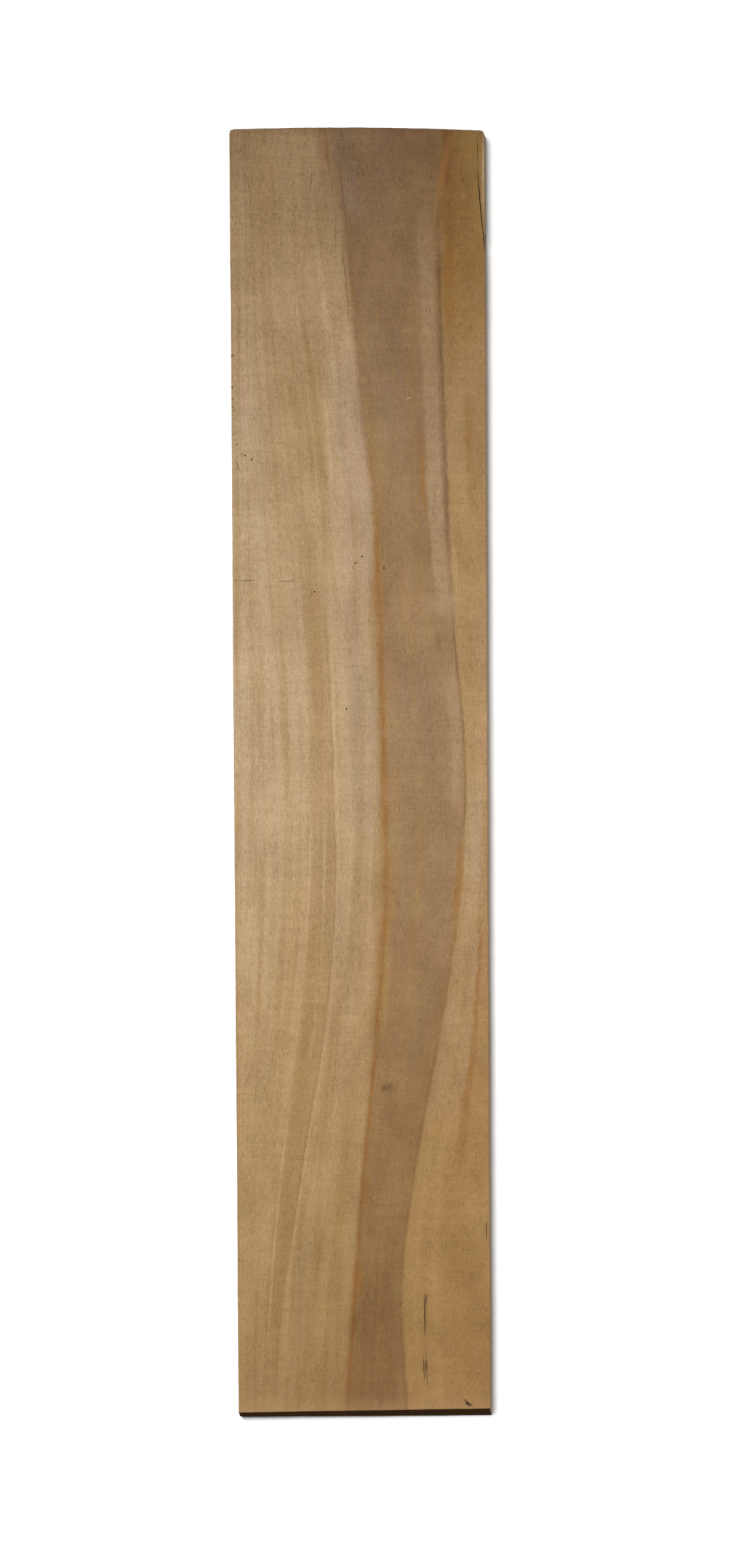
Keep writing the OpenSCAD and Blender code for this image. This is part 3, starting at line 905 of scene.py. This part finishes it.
    def _paint_light_falloff(self, ramp: bpy.types.ColorRamp) -> None:
        """Set the painted light falloff: how much light the face keeps from the foot, at 0, to the head, at 1."""
        stops = (
            (0.0, (0.65, 0.55, 0.385)),
            (0.13, (0.72, 0.635, 0.46)),
            (0.33, (0.825, 0.76, 0.635)),
            (0.52, (0.92, 0.905, 0.865)),
            (0.6, (0.872, 0.84, 0.79)),
            (0.68, (0.85, 0.825, 0.76)),
            (0.775, (0.765, 0.735, 0.69)),
            (0.87, (0.64, 0.592, 0.50)),
            (1.0, (0.48, 0.43, 0.34)),
        )
        ramp.interpolation = "CARDINAL"
        for place, shade in stops[1:-1]:
            ramp.elements.new(place).color = (*shade, 1.0)
        for element, (place, shade) in ((ramp.elements[0], stops[0]), (ramp.elements[-1], stops[-1])):
            element.position = place
            element.color = (*shade, 1.0)


@dataclass(frozen=True)
class EndGrainFinish:
    """Finish of the two ends: dark, dusty end grain with rings and rays, its dark brown partly its own and partly
    painted shade.
    """

    name: str = "end_grain"

    def dress(self, material: bpy.types.Material) -> None:
        """Fill a material with the finish."""
        material.use_nodes = True
        material.node_tree.nodes.clear()
        w = Wiring(material.node_tree)
        grain = w.node("ShaderNodeAttribute", attribute_name="grain").outputs["Vector"]
        place = w.node("ShaderNodeTexCoord").outputs["Object"]
        spot = w.vector("SCALE", place)
        spot.node.inputs["Scale"].default_value = 1 / MM
        across, carried, ring = w.split(grain)
        x, y, z = w.split(spot)
        turn = w.math("ARCTAN2", w.math("SUBTRACT", across, 24.0), w.math("SUBTRACT", 69.0, z))
        rings = w.effect(GrowthRings(), Ring=ring, Turn=turn, Along=0.0, Width=2.6)
        dirt_and_shade_mottle = w.noise(w.vector("MULTIPLY", spot, (0.25, 0.25, 0.25)), 4.0, 0.6)
        pores = w.noise(w.vector("MULTIPLY", spot, (3.2, 3.2, 3.2)), 2.0, 0.6)
        saw = w.noise(w.vector("MULTIPLY", spot, (0.15, 1.0, 2.2)), 2.0, 0.6)
        # The two dark base tones are partly the end grain's own darker brown and partly painted shade.
        colour = w.mix(w.ease(dirt_and_shade_mottle, 0.3, 0.7), tint(52, 36, 21), tint(70, 50, 30))
        colour = w.mix(w.math("MULTIPLY", rings.outputs["Lines"], 0.45), colour, tint(70, 48, 30))
        colour = w.mix(w.math("MULTIPLY", rings.outputs["Rays"], 0.3), colour, tint(112, 86, 58))
        colour = w.mix(w.ease(pores, 0.55, 0.75, 0.0, 0.5), colour, tint(58, 40, 26))
        shader = w.node("ShaderNodeBsdfPrincipled")
        w.feed(shader.inputs["Base Color"], colour)
        w.feed(shader.inputs["Roughness"], w.ease(dirt_and_shade_mottle, 0.3, 0.7, 0.82, 0.95))
        shader.inputs["Specular IOR Level"].default_value = 0.0
        height = w.math("SUBTRACT", w.math("ADD", saw, rings.outputs["Rays"]), pores)
        bump = w.node("ShaderNodeBump")
        bump.inputs["Strength"].default_value = 0.7
        bump.inputs["Distance"].default_value = 0.2 * MM
        w.feed(bump.inputs["Height"], height)
        w.feed(shader.inputs["Normal"], bump.outputs["Normal"])
        w.feed(w.node("ShaderNodeOutputMaterial").inputs["Surface"], shader.outputs["BSDF"])


@dataclass(frozen=True)
class SplitWoodFinish:
    """Finish inside the splits, holes and nicks: dark fibres."""

    name: str = "split_wood"

    def dress(self, material: bpy.types.Material) -> None:
        """Fill a material with the finish."""
        material.use_nodes = True
        material.node_tree.nodes.clear()
        w = Wiring(material.node_tree)
        place = w.node("ShaderNodeTexCoord").outputs["Object"]
        spot = w.vector("SCALE", place)
        spot.node.inputs["Scale"].default_value = 1 / MM
        fibres = w.effect(Fibres(), Flow=spot, Width=0.3, Length=4.0, Seed=11.0).outputs["Tone"]
        colour = w.mix(w.ease(fibres, 0.3, 0.7), tint(52, 35, 21), tint(98, 70, 44))
        shader = w.node("ShaderNodeBsdfPrincipled")
        w.feed(shader.inputs["Base Color"], colour)
        shader.inputs["Roughness"].default_value = 0.9
        shader.inputs["Specular IOR Level"].default_value = 0.15
        bump = w.node("ShaderNodeBump")
        bump.inputs["Strength"].default_value = 0.8
        bump.inputs["Distance"].default_value = 0.1 * MM
        w.feed(bump.inputs["Height"], fibres)
        w.feed(shader.inputs["Normal"], bump.outputs["Normal"])
        w.feed(w.node("ShaderNodeOutputMaterial").inputs["Surface"], shader.outputs["BSDF"])


@dataclass
class Studio:
    """Pale floor, soft light and a camera straight above the board.

    Attributes:
        target: Point of the upper face at the middle of the picture, in mm.
        height: Distance of the camera from that point, in metres.
        tall: Height of the picture at the upper face, in mm.
        roll: How far the picture is turned against the board, in degrees.
        aside: How far the camera stands off to the right and to the foot, in degrees.
    """

    target: tuple[float, float, float] = (2.86, -5.2, 27.0)
    height: float = 10.0
    tall: float = 607.6
    roll: float = 0.349
    aside: tuple[float, float] = (1.6, 1.9)

    def build(self) -> None:
        """Set up the camera, the floor, the lights and the surroundings."""
        self._camera()
        self._floor()
        self._lights()

    def _camera(self) -> None:
        """Add the camera, with the head of the board up and a long lens."""
        right, down = (math.tan(math.radians(angle)) for angle in self.aside)
        back = Vector((right, -down, 1)).normalized()
        turn = math.radians(self.roll)
        up = Vector((math.sin(turn), math.cos(turn), 0))
        side = up.cross(back).normalized()
        up = back.cross(side)
        bpy.ops.object.camera_add()
        camera = bpy.context.object
        camera.name = "camera"
        place = Vector(self.target) * MM + back * self.height
        camera.matrix_world = Matrix.Translation(place) @ Matrix((side, up, back)).transposed().to_4x4()
        camera.data.sensor_width = 36
        camera.data.lens = 36 * self.height / (self.tall * MM)
        camera.data.clip_start = 0.1
        camera.data.clip_end = 60
        bpy.context.scene.camera = camera

    def _floor(self) -> None:
        """Add the pale floor just under the board."""
        bpy.ops.mesh.primitive_plane_add(size=30, location=(0, 0, 0))
        floor = bpy.context.object
        floor.name = "floor"
        material = bpy.data.materials.new("pale_floor")
        material.use_nodes = True
        shader = material.node_tree.nodes["Principled BSDF"]
        shader.inputs["Base Color"].default_value = (0.95, 0.95, 0.95, 1)
        shader.inputs["Roughness"].default_value = 0.9
        shader.inputs["Specular IOR Level"].default_value = 0.0
        floor.data.materials.append(material)

    def _lights(self) -> None:
        """Add a large key light from the upper left and a pale world."""
        world = bpy.data.worlds.new("studio")
        bpy.context.scene.world = world
        world.use_nodes = True
        backdrop = world.node_tree.nodes["Background"]
        backdrop.inputs["Color"].default_value = (1, 1, 1, 1)
        backdrop.inputs["Strength"].default_value = 0.3
        bpy.ops.object.light_add(type="SUN", rotation=(math.radians(-4), math.radians(-3), 0))
        key = bpy.context.object
        key.name = "key_light"
        key.data.energy = 3.0
        key.data.angle = math.radians(8)
        bpy.context.scene.view_settings.view_transform = "Standard"


@dataclass(frozen=True)
class Slit:
    """A narrow opening along the grain, seen from above, in mm.

    Attributes:
        name: What the opening is.
        path: Points of its middle line.
        gaps: Opening at each point.
        depth: Depth below the upper face.
        lean: Lean towards the right edge on the way down, in degrees.
    """

    name: str
    path: tuple[tuple[float, float], ...]
    gaps: tuple[float, ...]
    depth: float
    lean: float = 0.0


@dataclass
class SawnPlank:
    """The plank: one sawn board with its worn arrises, saw marks, splits, nicks and holes.

    Attributes:
        box: Lowest and highest corner of the construction model, in metres.
        foot_width: Width at the foot, in mm.
        head_crown: Rise of the crowned head cut above its chord, in mm.
        head_skew: How much lower the right end of the head cut is, in mm.
        foot_back_left: Set-back of the leaning foot cut at the left, in mm.
        foot_back_right: The same at the right, in mm.
        foot_run_out: How far the leaning cut runs out over the thickness, in mm.
        arris: Leg of the worn arris, in mm.
        cell: Size of a mesh cell along, across and through the board, in mm.
        saw_pitch: Distance between two saw marks, in mm.
        saw_depth: Depth of a saw mark, in mm.
    """

    box: tuple[Vector, Vector]
    foot_width: float = 98.0
    head_crown: float = 1.0
    head_skew: float = 1.2
    head_left_radius: float = 2.2
    head_right_radius: float = 2.0
    foot_radius: float = 0.6
    foot_back_left: float = 1.3
    foot_back_right: float = 2.3
    foot_run_out: float = 2.5
    arris: float = 0.4
    nick_depth: float = 0.5
    split_inset: float = 2.8
    split_start: float = 17.0
    split_length: float = 33.0
    split_gap: float = 0.3
    split_bend: float = 1.3
    split_lean: float = 1.8
    check_length: float = 11.0
    check_depth: float = 5.0
    shake_gap: float = 0.26
    shake_depth: float = 7.0
    pin_width: float = 0.7
    pin_depth: float = 0.4
    gouge_length: float = 2.8
    gouge_width: float = 1.4
    gouge_depth: float = 0.5
    end_strip: float = 5.0
    side_strip: float = 3.0
    cell: tuple[float, float, float] = (2.1, 0.95, 2.25)
    saw_pitch: float = 5.8
    saw_depth: float = 0.13
    pin_holes: tuple[tuple[float, float], ...] = (
        (50.5, 167), (48, 169.5), (59, 171.5), (32, 180.5), (44, 226), (8, 129), (5.5, 127.5)
    )
    nicks: tuple[tuple[float, float], ...] = (
        (89, 1), (101, 1.4), (105, 0.9), (109, 1.6), (113.5, 1.2), (115.5, 0.9), (119, 1.2)
    )
    slit_steps: int = 8
    piece: bpy.types.Object | None = field(default=None, init=False)

    def __post_init__(self) -> None:
        """Take the length, the head width and the thickness from the construction model."""
        low, high = self.box
        self.head_width = (high.x - low.x) / MM
        self.length = round((high.y - low.y) / MM, 1)
        self.thickness = (high.z - low.z) / MM
        self.head_y = self.length / 2
        self.foot_y = -self.length / 2

    def half_width(self, y: float) -> float:
        """Half the width of the board at a distance along it, all in mm."""
        share = (y - self.foot_y) / self.length
        return (self.foot_width + (self.head_width - self.foot_width) * share) / 2

    def build(self) -> bpy.types.Object:
        """Model the plank and return its object."""
        self._start_block()
        self._lay_grid()
        self._lean_foot()
        self._wear_corners()
        self._saw_relief()
        self._cut_damage()
        self._write_grain()
        return self.piece

    def dress(self) -> None:
        """Give every surface its finish."""
        slots = self.piece.data.materials
        for finish in (
            SawnFinish("sawn_face", marks=True, greying=0.0, relief=0.12),
            SawnFinish("sawn_edge", marks=False, greying=0.25, relief=0.15),
            EndGrainFinish(),
            SplitWoodFinish(),
        ):
            finish.dress(slots[finish.name])

    def _start_block(self) -> None:
        """Add the block, taper it and crown its head."""
        bpy.ops.object.select_all(action="DESELECT")
        bpy.ops.mesh.primitive_cube_add(
            size=1,
            location=(0, 0, self.thickness / 2 * MM),
            scale=(self.head_width * MM, self.length * MM, self.thickness * MM),
        )
        self.piece = bpy.context.object
        self.piece.name = self.piece.data.name = "sawn_plank"
        settle(self.piece)
        start_edit(self.piece)
        pick(self.piece, Pick.VERTS, lambda v: v.co.y < 0)
        bpy.ops.transform.resize(
            value=(self.foot_width / self.head_width, 1, 1), center_override=(0, self.foot_y * MM, 0)
        )
        side = (self.foot_width / 2 - self.side_strip) * MM
        end = (self.head_y - self.end_strip) * MM
        for place, normal in (
            ((side, 0, 0), (1, 0, 0)), ((-side, 0, 0), (1, 0, 0)), ((0, end, 0), (0, 1, 0)), ((0, -end, 0), (0, 1, 0))
        ):
            bpy.ops.mesh.select_all(action="SELECT")
            bpy.ops.mesh.bisect(plane_co=place, plane_no=normal)
        self._subdivide(0, 2 * side / MM, self.cell[0], side)
        self._crown_head()
        end_edit()

    def _subdivide(self, axis: int, span: float, cell: float, reach: float) -> None:
        """Divide the inner edges along an axis into cells, in two passes where there are many.

        Args:
            axis: 0, 1 or 2 for the axis that the edges follow.
            span: Length of such an edge, in mm.
            cell: Size of a cell, in mm.
            reach: Edges whose middle is further out than this are left whole, in metres.
        """
        count = round(span / cell)
        first = 20 if count > 90 else 1
        for pieces in (first, round(count / first)):
            if pieces < 2:
                continue
            pick(
                self.piece,
                Pick.EDGES,
                lambda e: runs_along(e, axis) and abs(middle(e)[axis]) < reach,
            )
            bpy.ops.mesh.subdivide(number_cuts=pieces - 1)

    def _crown_head(self) -> None:
        """Move the columns of the head cut down to its crowned and skewed line."""
        top = min(1, max(0, 0.5 - self.head_skew / (8 * self.head_crown)))
        rise = 4 * self.head_crown * top * (1 - top) - self.head_skew * top
        mesh = bmesh.from_edit_mesh(self.piece.data)
        near = 0.01 * MM
        columns = sorted({round(v.co.x, 6) for v in mesh.verts if v.co.y > self.head_y * MM - near})
        for x in columns:
            u = x / MM / self.head_width + 0.5
            drop = 4 * self.head_crown * u * (1 - u) - self.head_skew * u - rise
            pick(
                self.piece,
                Pick.VERTS,
                lambda v: abs(v.co.x - x) < near and v.co.y > (self.head_y - 2) * MM,
            )
            bpy.ops.transform.translate(value=(0, drop * MM, 0))

    def _lay_grid(self) -> None:
        """Divide the board through its thickness and along its length."""
        start_edit(self.piece)
        self._subdivide(2, self.thickness, self.cell[2], self.thickness * MM)
        self._subdivide(1, self.length - 2 * self.end_strip, self.cell[1], (self.head_y - self.end_strip) * MM)
        end_edit()

    def _lean_foot(self) -> None:
        """Turn each row of the foot that the leaning cut reaches back by that cut's angle."""
        start_edit(self.piece)
        near = 0.01 * MM
        mesh = bmesh.from_edit_mesh(self.piece.data)
        rows = sorted({round(v.co.z, 6) for v in mesh.verts if v.co.y < self.foot_y * MM + near})
        turn = (self.foot_back_right - self.foot_back_left) / self.foot_width
        slope = self.foot_run_out / self.thickness
        for z in rows:
            back_left = self.foot_back_left - slope * (self.thickness - z / MM)
            crease = (-self.foot_width / 2 - back_left / turn) * MM
            found = pick(
                self.piece,
                Pick.VERTS,
                lambda v: abs(v.co.z - z) < near and v.co.y < self.foot_y * MM + near and v.co.x > crease,
            )
            if found:
                bpy.ops.transform.rotate(
                    value=-math.atan(turn),
                    orient_axis="Z",
                    center_override=(crease, self.foot_y * MM, z),
                )
        end_edit()

    def _wear_corners(self) -> None:
        """Round the four upright corners, then the arrises round both faces."""
        start_edit(self.piece)
        inside = (self.foot_width / 2 - 1) * MM
        for x_side, y_side, radius in (
            (-1, 1, self.head_left_radius),
            (1, 1, self.head_right_radius),
            (-1, -1, self.foot_radius),
            (1, -1, self.foot_radius),
        ):
            pick(
                self.piece,
                Pick.EDGES,
                lambda e: runs_along(e, 2)
                and middle(e).x * x_side > inside
                and middle(e).y * y_side > (self.head_y - self.end_strip / 2 - 1) * MM,
            )
            bpy.ops.mesh.bevel(offset=radius * MM, segments=4, affect="EDGES", profile=0.5)
        pick(self.piece, Pick.EDGES, self._is_arris)
        bpy.ops.mesh.bevel(offset=self.arris * MM, segments=2, affect="EDGES", profile=0.5)
        end_edit()

    def _is_arris(self, edge: bmesh.types.BMEdge) -> bool:
        """Whether an edge lies between a broad face and an edge or end face."""
        if len(edge.link_faces) != 2:
            return False
        tilts = sorted(abs(face.normal.z) for face in edge.link_faces)
        return tilts[0] < 0.5 and tilts[1] > 0.9

    def _saw_relief(self) -> None:
        """Press the saw marks and the wander of the cuts into the faces, inwards only."""
        rim = 0.6
        side = self.half_width
        self._group("upper_face", lambda v: v.co.z / MM > self.thickness - 0.05)
        self._group("under_face", lambda v: v.co.z / MM < 0.05)
        self._group("left_edge", lambda v: v.co.x / MM < rim - side(v.co.y / MM))
        self._group("right_edge", lambda v: v.co.x / MM > side(v.co.y / MM) - rim)
        self._group("head_end", lambda v: v.co.y / MM > self._head_line(v.co.x / MM) - rim)
        self._group("foot_end", lambda v: v.co.y / MM < self._foot_line(v.co.x / MM, v.co.z / MM) + rim)
        self._group("arrises", self._on_arris)
        guide = self._saw_guide()
        bands = new_texture("saw_bands", "WOOD", noise_scale=0.8, wood_type="BANDNOISE", turbulence=3.0)
        swell = new_texture("slow_swell", "CLOUDS", noise_scale=0.035)
        torn = new_texture("torn_fibres", "CLOUDS", noise_scale=0.0025)
        for group, depth in (("upper_face", -self.saw_depth), ("under_face", self.saw_depth)):
            press(self.piece, group, "Z", depth * MM, bands, guide)
            press(self.piece, group, "Z", depth * MM / 2, swell)
        for group, axis, depth in (
            ("left_edge", "X", 0.3), ("right_edge", "X", -0.3), ("head_end", "Y", -0.35), ("foot_end", "Y", 0.3)
        ):
            press(self.piece, group, axis, depth * MM, swell)
            press(self.piece, group, axis, depth * MM / 3, torn)
        press(self.piece, "arrises", "NORMAL", -0.16 * MM, torn)
        bpy.data.objects.remove(guide)

    def _head_line(self, x: float) -> float:
        """Place of the crowned head cut at a distance right of the middle, in mm."""
        top = min(1, max(0, 0.5 - self.head_skew / (8 * self.head_crown)))
        rise = 4 * self.head_crown * top * (1 - top) - self.head_skew * top
        u = x / self.head_width + 0.5
        return self.head_y - rise + 4 * self.head_crown * u * (1 - u) - self.head_skew * u

    def _foot_line(self, x: float, z: float) -> float:
        """Place of the foot cut at a distance right of the middle and a height, in mm."""
        turn = (self.foot_back_right - self.foot_back_left) / self.foot_width
        back = self.foot_back_left + turn * (x + self.foot_width / 2)
        return self.foot_y + max(0, back - self.foot_run_out / self.thickness * (self.thickness - z))

    def _on_arris(self, vert: bmesh.types.BMVert) -> bool:
        """Whether a vertex belongs to the worn arris round the upper or the lower face."""
        x, y, z = vert.co / MM
        leg = self.arris + 0.05
        if leg < z < self.thickness - leg:
            return False
        return (
            abs(x) > self.half_width(y) - leg
            or y > self._head_line(x) - leg
            or y < self._foot_line(x, z) + leg
        )

    def _group(self, name: str, test: Callable[[bmesh.types.BMVert], bool]) -> None:
        """Put the vertices that pass a test into a new vertex group."""
        start_edit(self.piece)
        pick(self.piece, Pick.VERTS, test)
        bpy.ops.object.vertex_group_add()
        bpy.ops.object.vertex_group_assign()
        end_edit()
        self.piece.vertex_groups.active.name = name

    def _saw_guide(self) -> bpy.types.Object:
        """Add an empty whose size sets the pitch of the saw marks and their slant across the board."""
        bpy.ops.object.empty_add(location=(0, 0, 0))
        guide = bpy.context.object
        guide.name = "saw_guide"
        bands_per_unit = 10 / (2 * math.pi)
        guide.scale = (0.4, bands_per_unit * self.saw_pitch * MM, 10)
        bpy.context.view_layer.update()
        return guide

    def _cut_damage(self) -> None:
        """Cut the split, the shakes, the pin holes, the nicks and the gouge."""
        self.piece.data.materials.clear()
        for name in ("sawn_face", "sawn_edge", "end_grain"):
            self.piece.data.materials.append(bpy.data.materials.new(name))
        self._sort_faces()
        inner = bpy.data.materials.new("split_wood")
        tools = [self._slit_tool(slit) for slit in self._slits()]
        tools += [self._pin_tool(*place) for place in self.pin_holes]
        tools += [self._nick_tool(*place) for place in self.nicks]
        tools.append(self._gouge_tool())
        holder = bpy.data.collections.new("cutters")
        bpy.context.scene.collection.children.link(holder)
        for tool in tools:
            tool.data.materials.clear()
            tool.data.materials.append(inner)
            holder.objects.link(tool)
        cut = self.piece.modifiers.new("damage", "BOOLEAN")
        cut.operation = "DIFFERENCE"
        cut.solver = "MANIFOLD"
        cut.operand_type = "COLLECTION"
        cut.collection = holder
        cut.material_mode = "TRANSFER"
        apply_modifier(self.piece, cut)
        for tool in tools:
            mesh = tool.data
            bpy.data.objects.remove(tool)
            bpy.data.meshes.remove(mesh)
        bpy.data.collections.remove(holder)
        bpy.ops.object.select_all(action="DESELECT")
        bpy.context.view_layer.objects.active = self.piece
        self.piece.select_set(True)
        bpy.ops.object.shade_smooth_by_angle(angle=math.radians(28))

    def _sort_faces(self) -> None:
        """Give the edges, the ends and the broad faces their own material slots."""
        start_edit(self.piece)
        for surface, test in (
            (Surface.SAWN_EDGE, lambda f: abs(f.normal.x) > 0.8),
            (Surface.END_GRAIN, lambda f: abs(f.normal.y) > 0.6),
        ):
            pick(self.piece, Pick.FACES, test)
            self.piece.active_material_index = surface.value
            bpy.ops.object.material_slot_assign()
        end_edit()

    def _slits(self) -> list[Slit]:
        """The split at the head, the closed check above it, and the shakes near the foot."""
        steps = 3 * self.slit_steps
        shares = [step / steps for step in range(steps + 1)]
        top = self.head_y - self.split_start
        edge = self.half_width(top)
        path = [(edge - self.split_inset * (1 - t**self.split_bend), top - self.split_length * t) for t in shares]
        gaps = [self.split_gap * (0.15 + 0.85 * min(1, 4 * t)) for t in shares]
        path.append((path[-1][0] + 1.2, path[-1][1] - 1.2))
        gaps.append(self.split_gap)
        slits = [Slit("head split", tuple(path), tuple(gaps), self.thickness + 1, self.split_lean)]
        low = top + 2
        check = [(self.half_width(low) - self.split_inset - 0.2 * t, low + self.check_length * t) for t in shares]
        slits.append(self._closed_slit("head check", check, 0.6 * self.split_gap, self.check_depth))
        for name, start, end, inset, drift, depth in (
            ("short foot shake", 13.3, 23.8, 25.6, -0.6, self.shake_depth),
            ("long foot shake", 30.5, 47.4, 25.6, 0.1, self.shake_depth),
            ("side shake", 67.5, 75.5, 1.4, 0.0, self.shake_depth / 2),
        ):
            line = [
                (self.half_width(self.foot_y + start) - inset + drift * t, self.foot_y + start + (end - start) * t)
                for t in shares
            ]
            slits.append(self._closed_slit(name, line, self.shake_gap, depth))
        return slits

    def _closed_slit(self, name: str, path: list[tuple[float, float]], gap: float, depth: float) -> Slit:
        """A slit that is pointed at both ends."""
        last = len(path) - 1
        gaps = tuple(gap * (0.12 + 0.88 * math.sin(math.pi * step / last)) for step in range(last + 1))
        return Slit(name, tuple(path), gaps, depth)

    def _slit_tool(self, slit: Slit) -> bpy.types.Object:
        """Extrude a thin slab along the path of a slit, and make its walls ragged."""
        over = 1.0
        bottom = self.thickness - slit.depth
        height = slit.depth + over
        (x, y), gap = slit.path[0], slit.gaps[0]
        onward = 1 if slit.path[1][1] > y else -1
        start = 0.01
        bpy.ops.object.select_all(action="DESELECT")
        bpy.ops.mesh.primitive_cube_add(
            size=1,
            location=(x * MM, (y - onward * start) * MM, (bottom + height / 2) * MM),
            scale=(gap * MM, 2 * start * MM, height * MM),
        )
        tool = bpy.context.object
        settle(tool)
        start_edit(tool)
        pick(tool, Pick.FACES, lambda f: f.normal.y * onward > 0.9)
        for (next_x, next_y), next_gap in zip(slit.path[1:], slit.gaps[1:]):
            bpy.ops.mesh.extrude_region_move(
                TRANSFORM_OT_translate={"value": ((next_x - x) * MM, (next_y - y) * MM, 0)}
            )
            bpy.ops.transform.resize(value=(next_gap / gap, 1, 1), center_override=(next_x * MM, next_y * MM, 0))
            x, y, gap = next_x, next_y, next_gap
        tilt = math.tan(math.radians(slit.lean))
        for test, shift in (
            (lambda v: v.co.z / MM < bottom + 0.1, slit.depth * tilt),
            (lambda v: v.co.z / MM > bottom + height - 0.1, -over * tilt),
        ):
            pick(tool, Pick.VERTS, test)
            bpy.ops.transform.translate(value=(shift * MM, 0, 0))
        end_edit()
        ragged = tool.modifiers.new("ragged", "DISPLACE")
        ragged.texture = new_texture("ragged_walls", "CLOUDS", noise_scale=0.003)
        ragged.direction = "X"
        ragged.strength = 0.35 * MM
        apply_modifier(tool, ragged)
        return tool

    def _pin_tool(self, from_left: float, from_head: float) -> bpy.types.Object:
        """Cylinder of a blind pin hole."""
        y = self.head_y - from_head
        over = 1.0
        bpy.ops.object.select_all(action="DESELECT")
        bpy.ops.mesh.primitive_cylinder_add(
            vertices=14,
            radius=self.pin_width / 2 * MM,
            depth=(self.pin_depth + over) * MM,
            location=(
                (from_left - self.half_width(y)) * MM,
                y * MM,
                (self.thickness + (over - self.pin_depth) / 2) * MM,
            ),
        )
        tool = bpy.context.object
        settle(tool)
        return tool

    def _nick_tool(self, from_head: float, radius: float) -> bpy.types.Object:
        """Lumpy ball that tears a nick out of the left arris."""
        y = self.head_y - from_head
        out = (radius - self.nick_depth) / math.sqrt(2)
        place = ((-self.half_width(y) - out) * MM, y * MM, (self.thickness + out) * MM)
        bpy.ops.object.select_all(action="DESELECT")
        bpy.ops.mesh.primitive_ico_sphere_add(subdivisions=4, radius=radius * MM, location=place)
        tool = bpy.context.object
        settle(tool)
        lumps = tool.modifiers.new("lumps", "DISPLACE")
        lumps.texture = new_texture("nick_lumps", "CLOUDS", noise_scale=0.0008)
        lumps.strength = 0.5 * MM
        apply_modifier(tool, lumps)
        return tool

    def _gouge_tool(self) -> bpy.types.Object:
        """Lumpy lying egg that tears the gouge out beside the foot."""
        y = self.foot_y + 4.6
        bpy.ops.object.select_all(action="DESELECT")
        bpy.ops.mesh.primitive_ico_sphere_add(
            subdivisions=4,
            radius=MM,
            location=((self.half_width(y) - 9) * MM, y * MM, (self.thickness + 0.1) * MM),
            rotation=(0, 0, math.radians(-32)),
            scale=(self.gouge_length / 2, self.gouge_width / 2, self.gouge_depth + 0.1),
        )
        tool = bpy.context.object
        settle(tool)
        lumps = tool.modifiers.new("lumps", "DISPLACE")
        lumps.texture = new_texture("gouge_lumps", "CLOUDS", noise_scale=0.0009)
        lumps.strength = 0.7 * MM
        apply_modifier(tool, lumps)
        return tool

    def _write_grain(self) -> None:
        """Store the grain coordinates of each vertex for the materials."""
        mesh = self.piece.data
        points = np.empty(len(mesh.vertices) * 3, np.float32)
        mesh.vertices.foreach_get("co", points)
        flow = GrainFlow(half_length=self.length / 2, thickness=self.thickness)
        values = flow.field_at(points.reshape(-1, 3).astype(float) / MM)
        grain = mesh.attributes.new("grain", "FLOAT_VECTOR", "POINT")
        grain.data.foreach_set("vector", values.astype(np.float32).ravel())


def main() -> None:
    """Build the plank and its setting in order."""
    logging.basicConfig(level=logging.INFO, format="%(name)s: %(message)s")
    plank = SawnPlank(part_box(NODE))
    piece = plank.build()
    plank.dress()
    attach(piece, BODY)
    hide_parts(NODE)
    log.info("%s: %d faces", piece.name, len(piece.data.polygons))
    Studio().build()


if __name__ == "__main__":
    main()
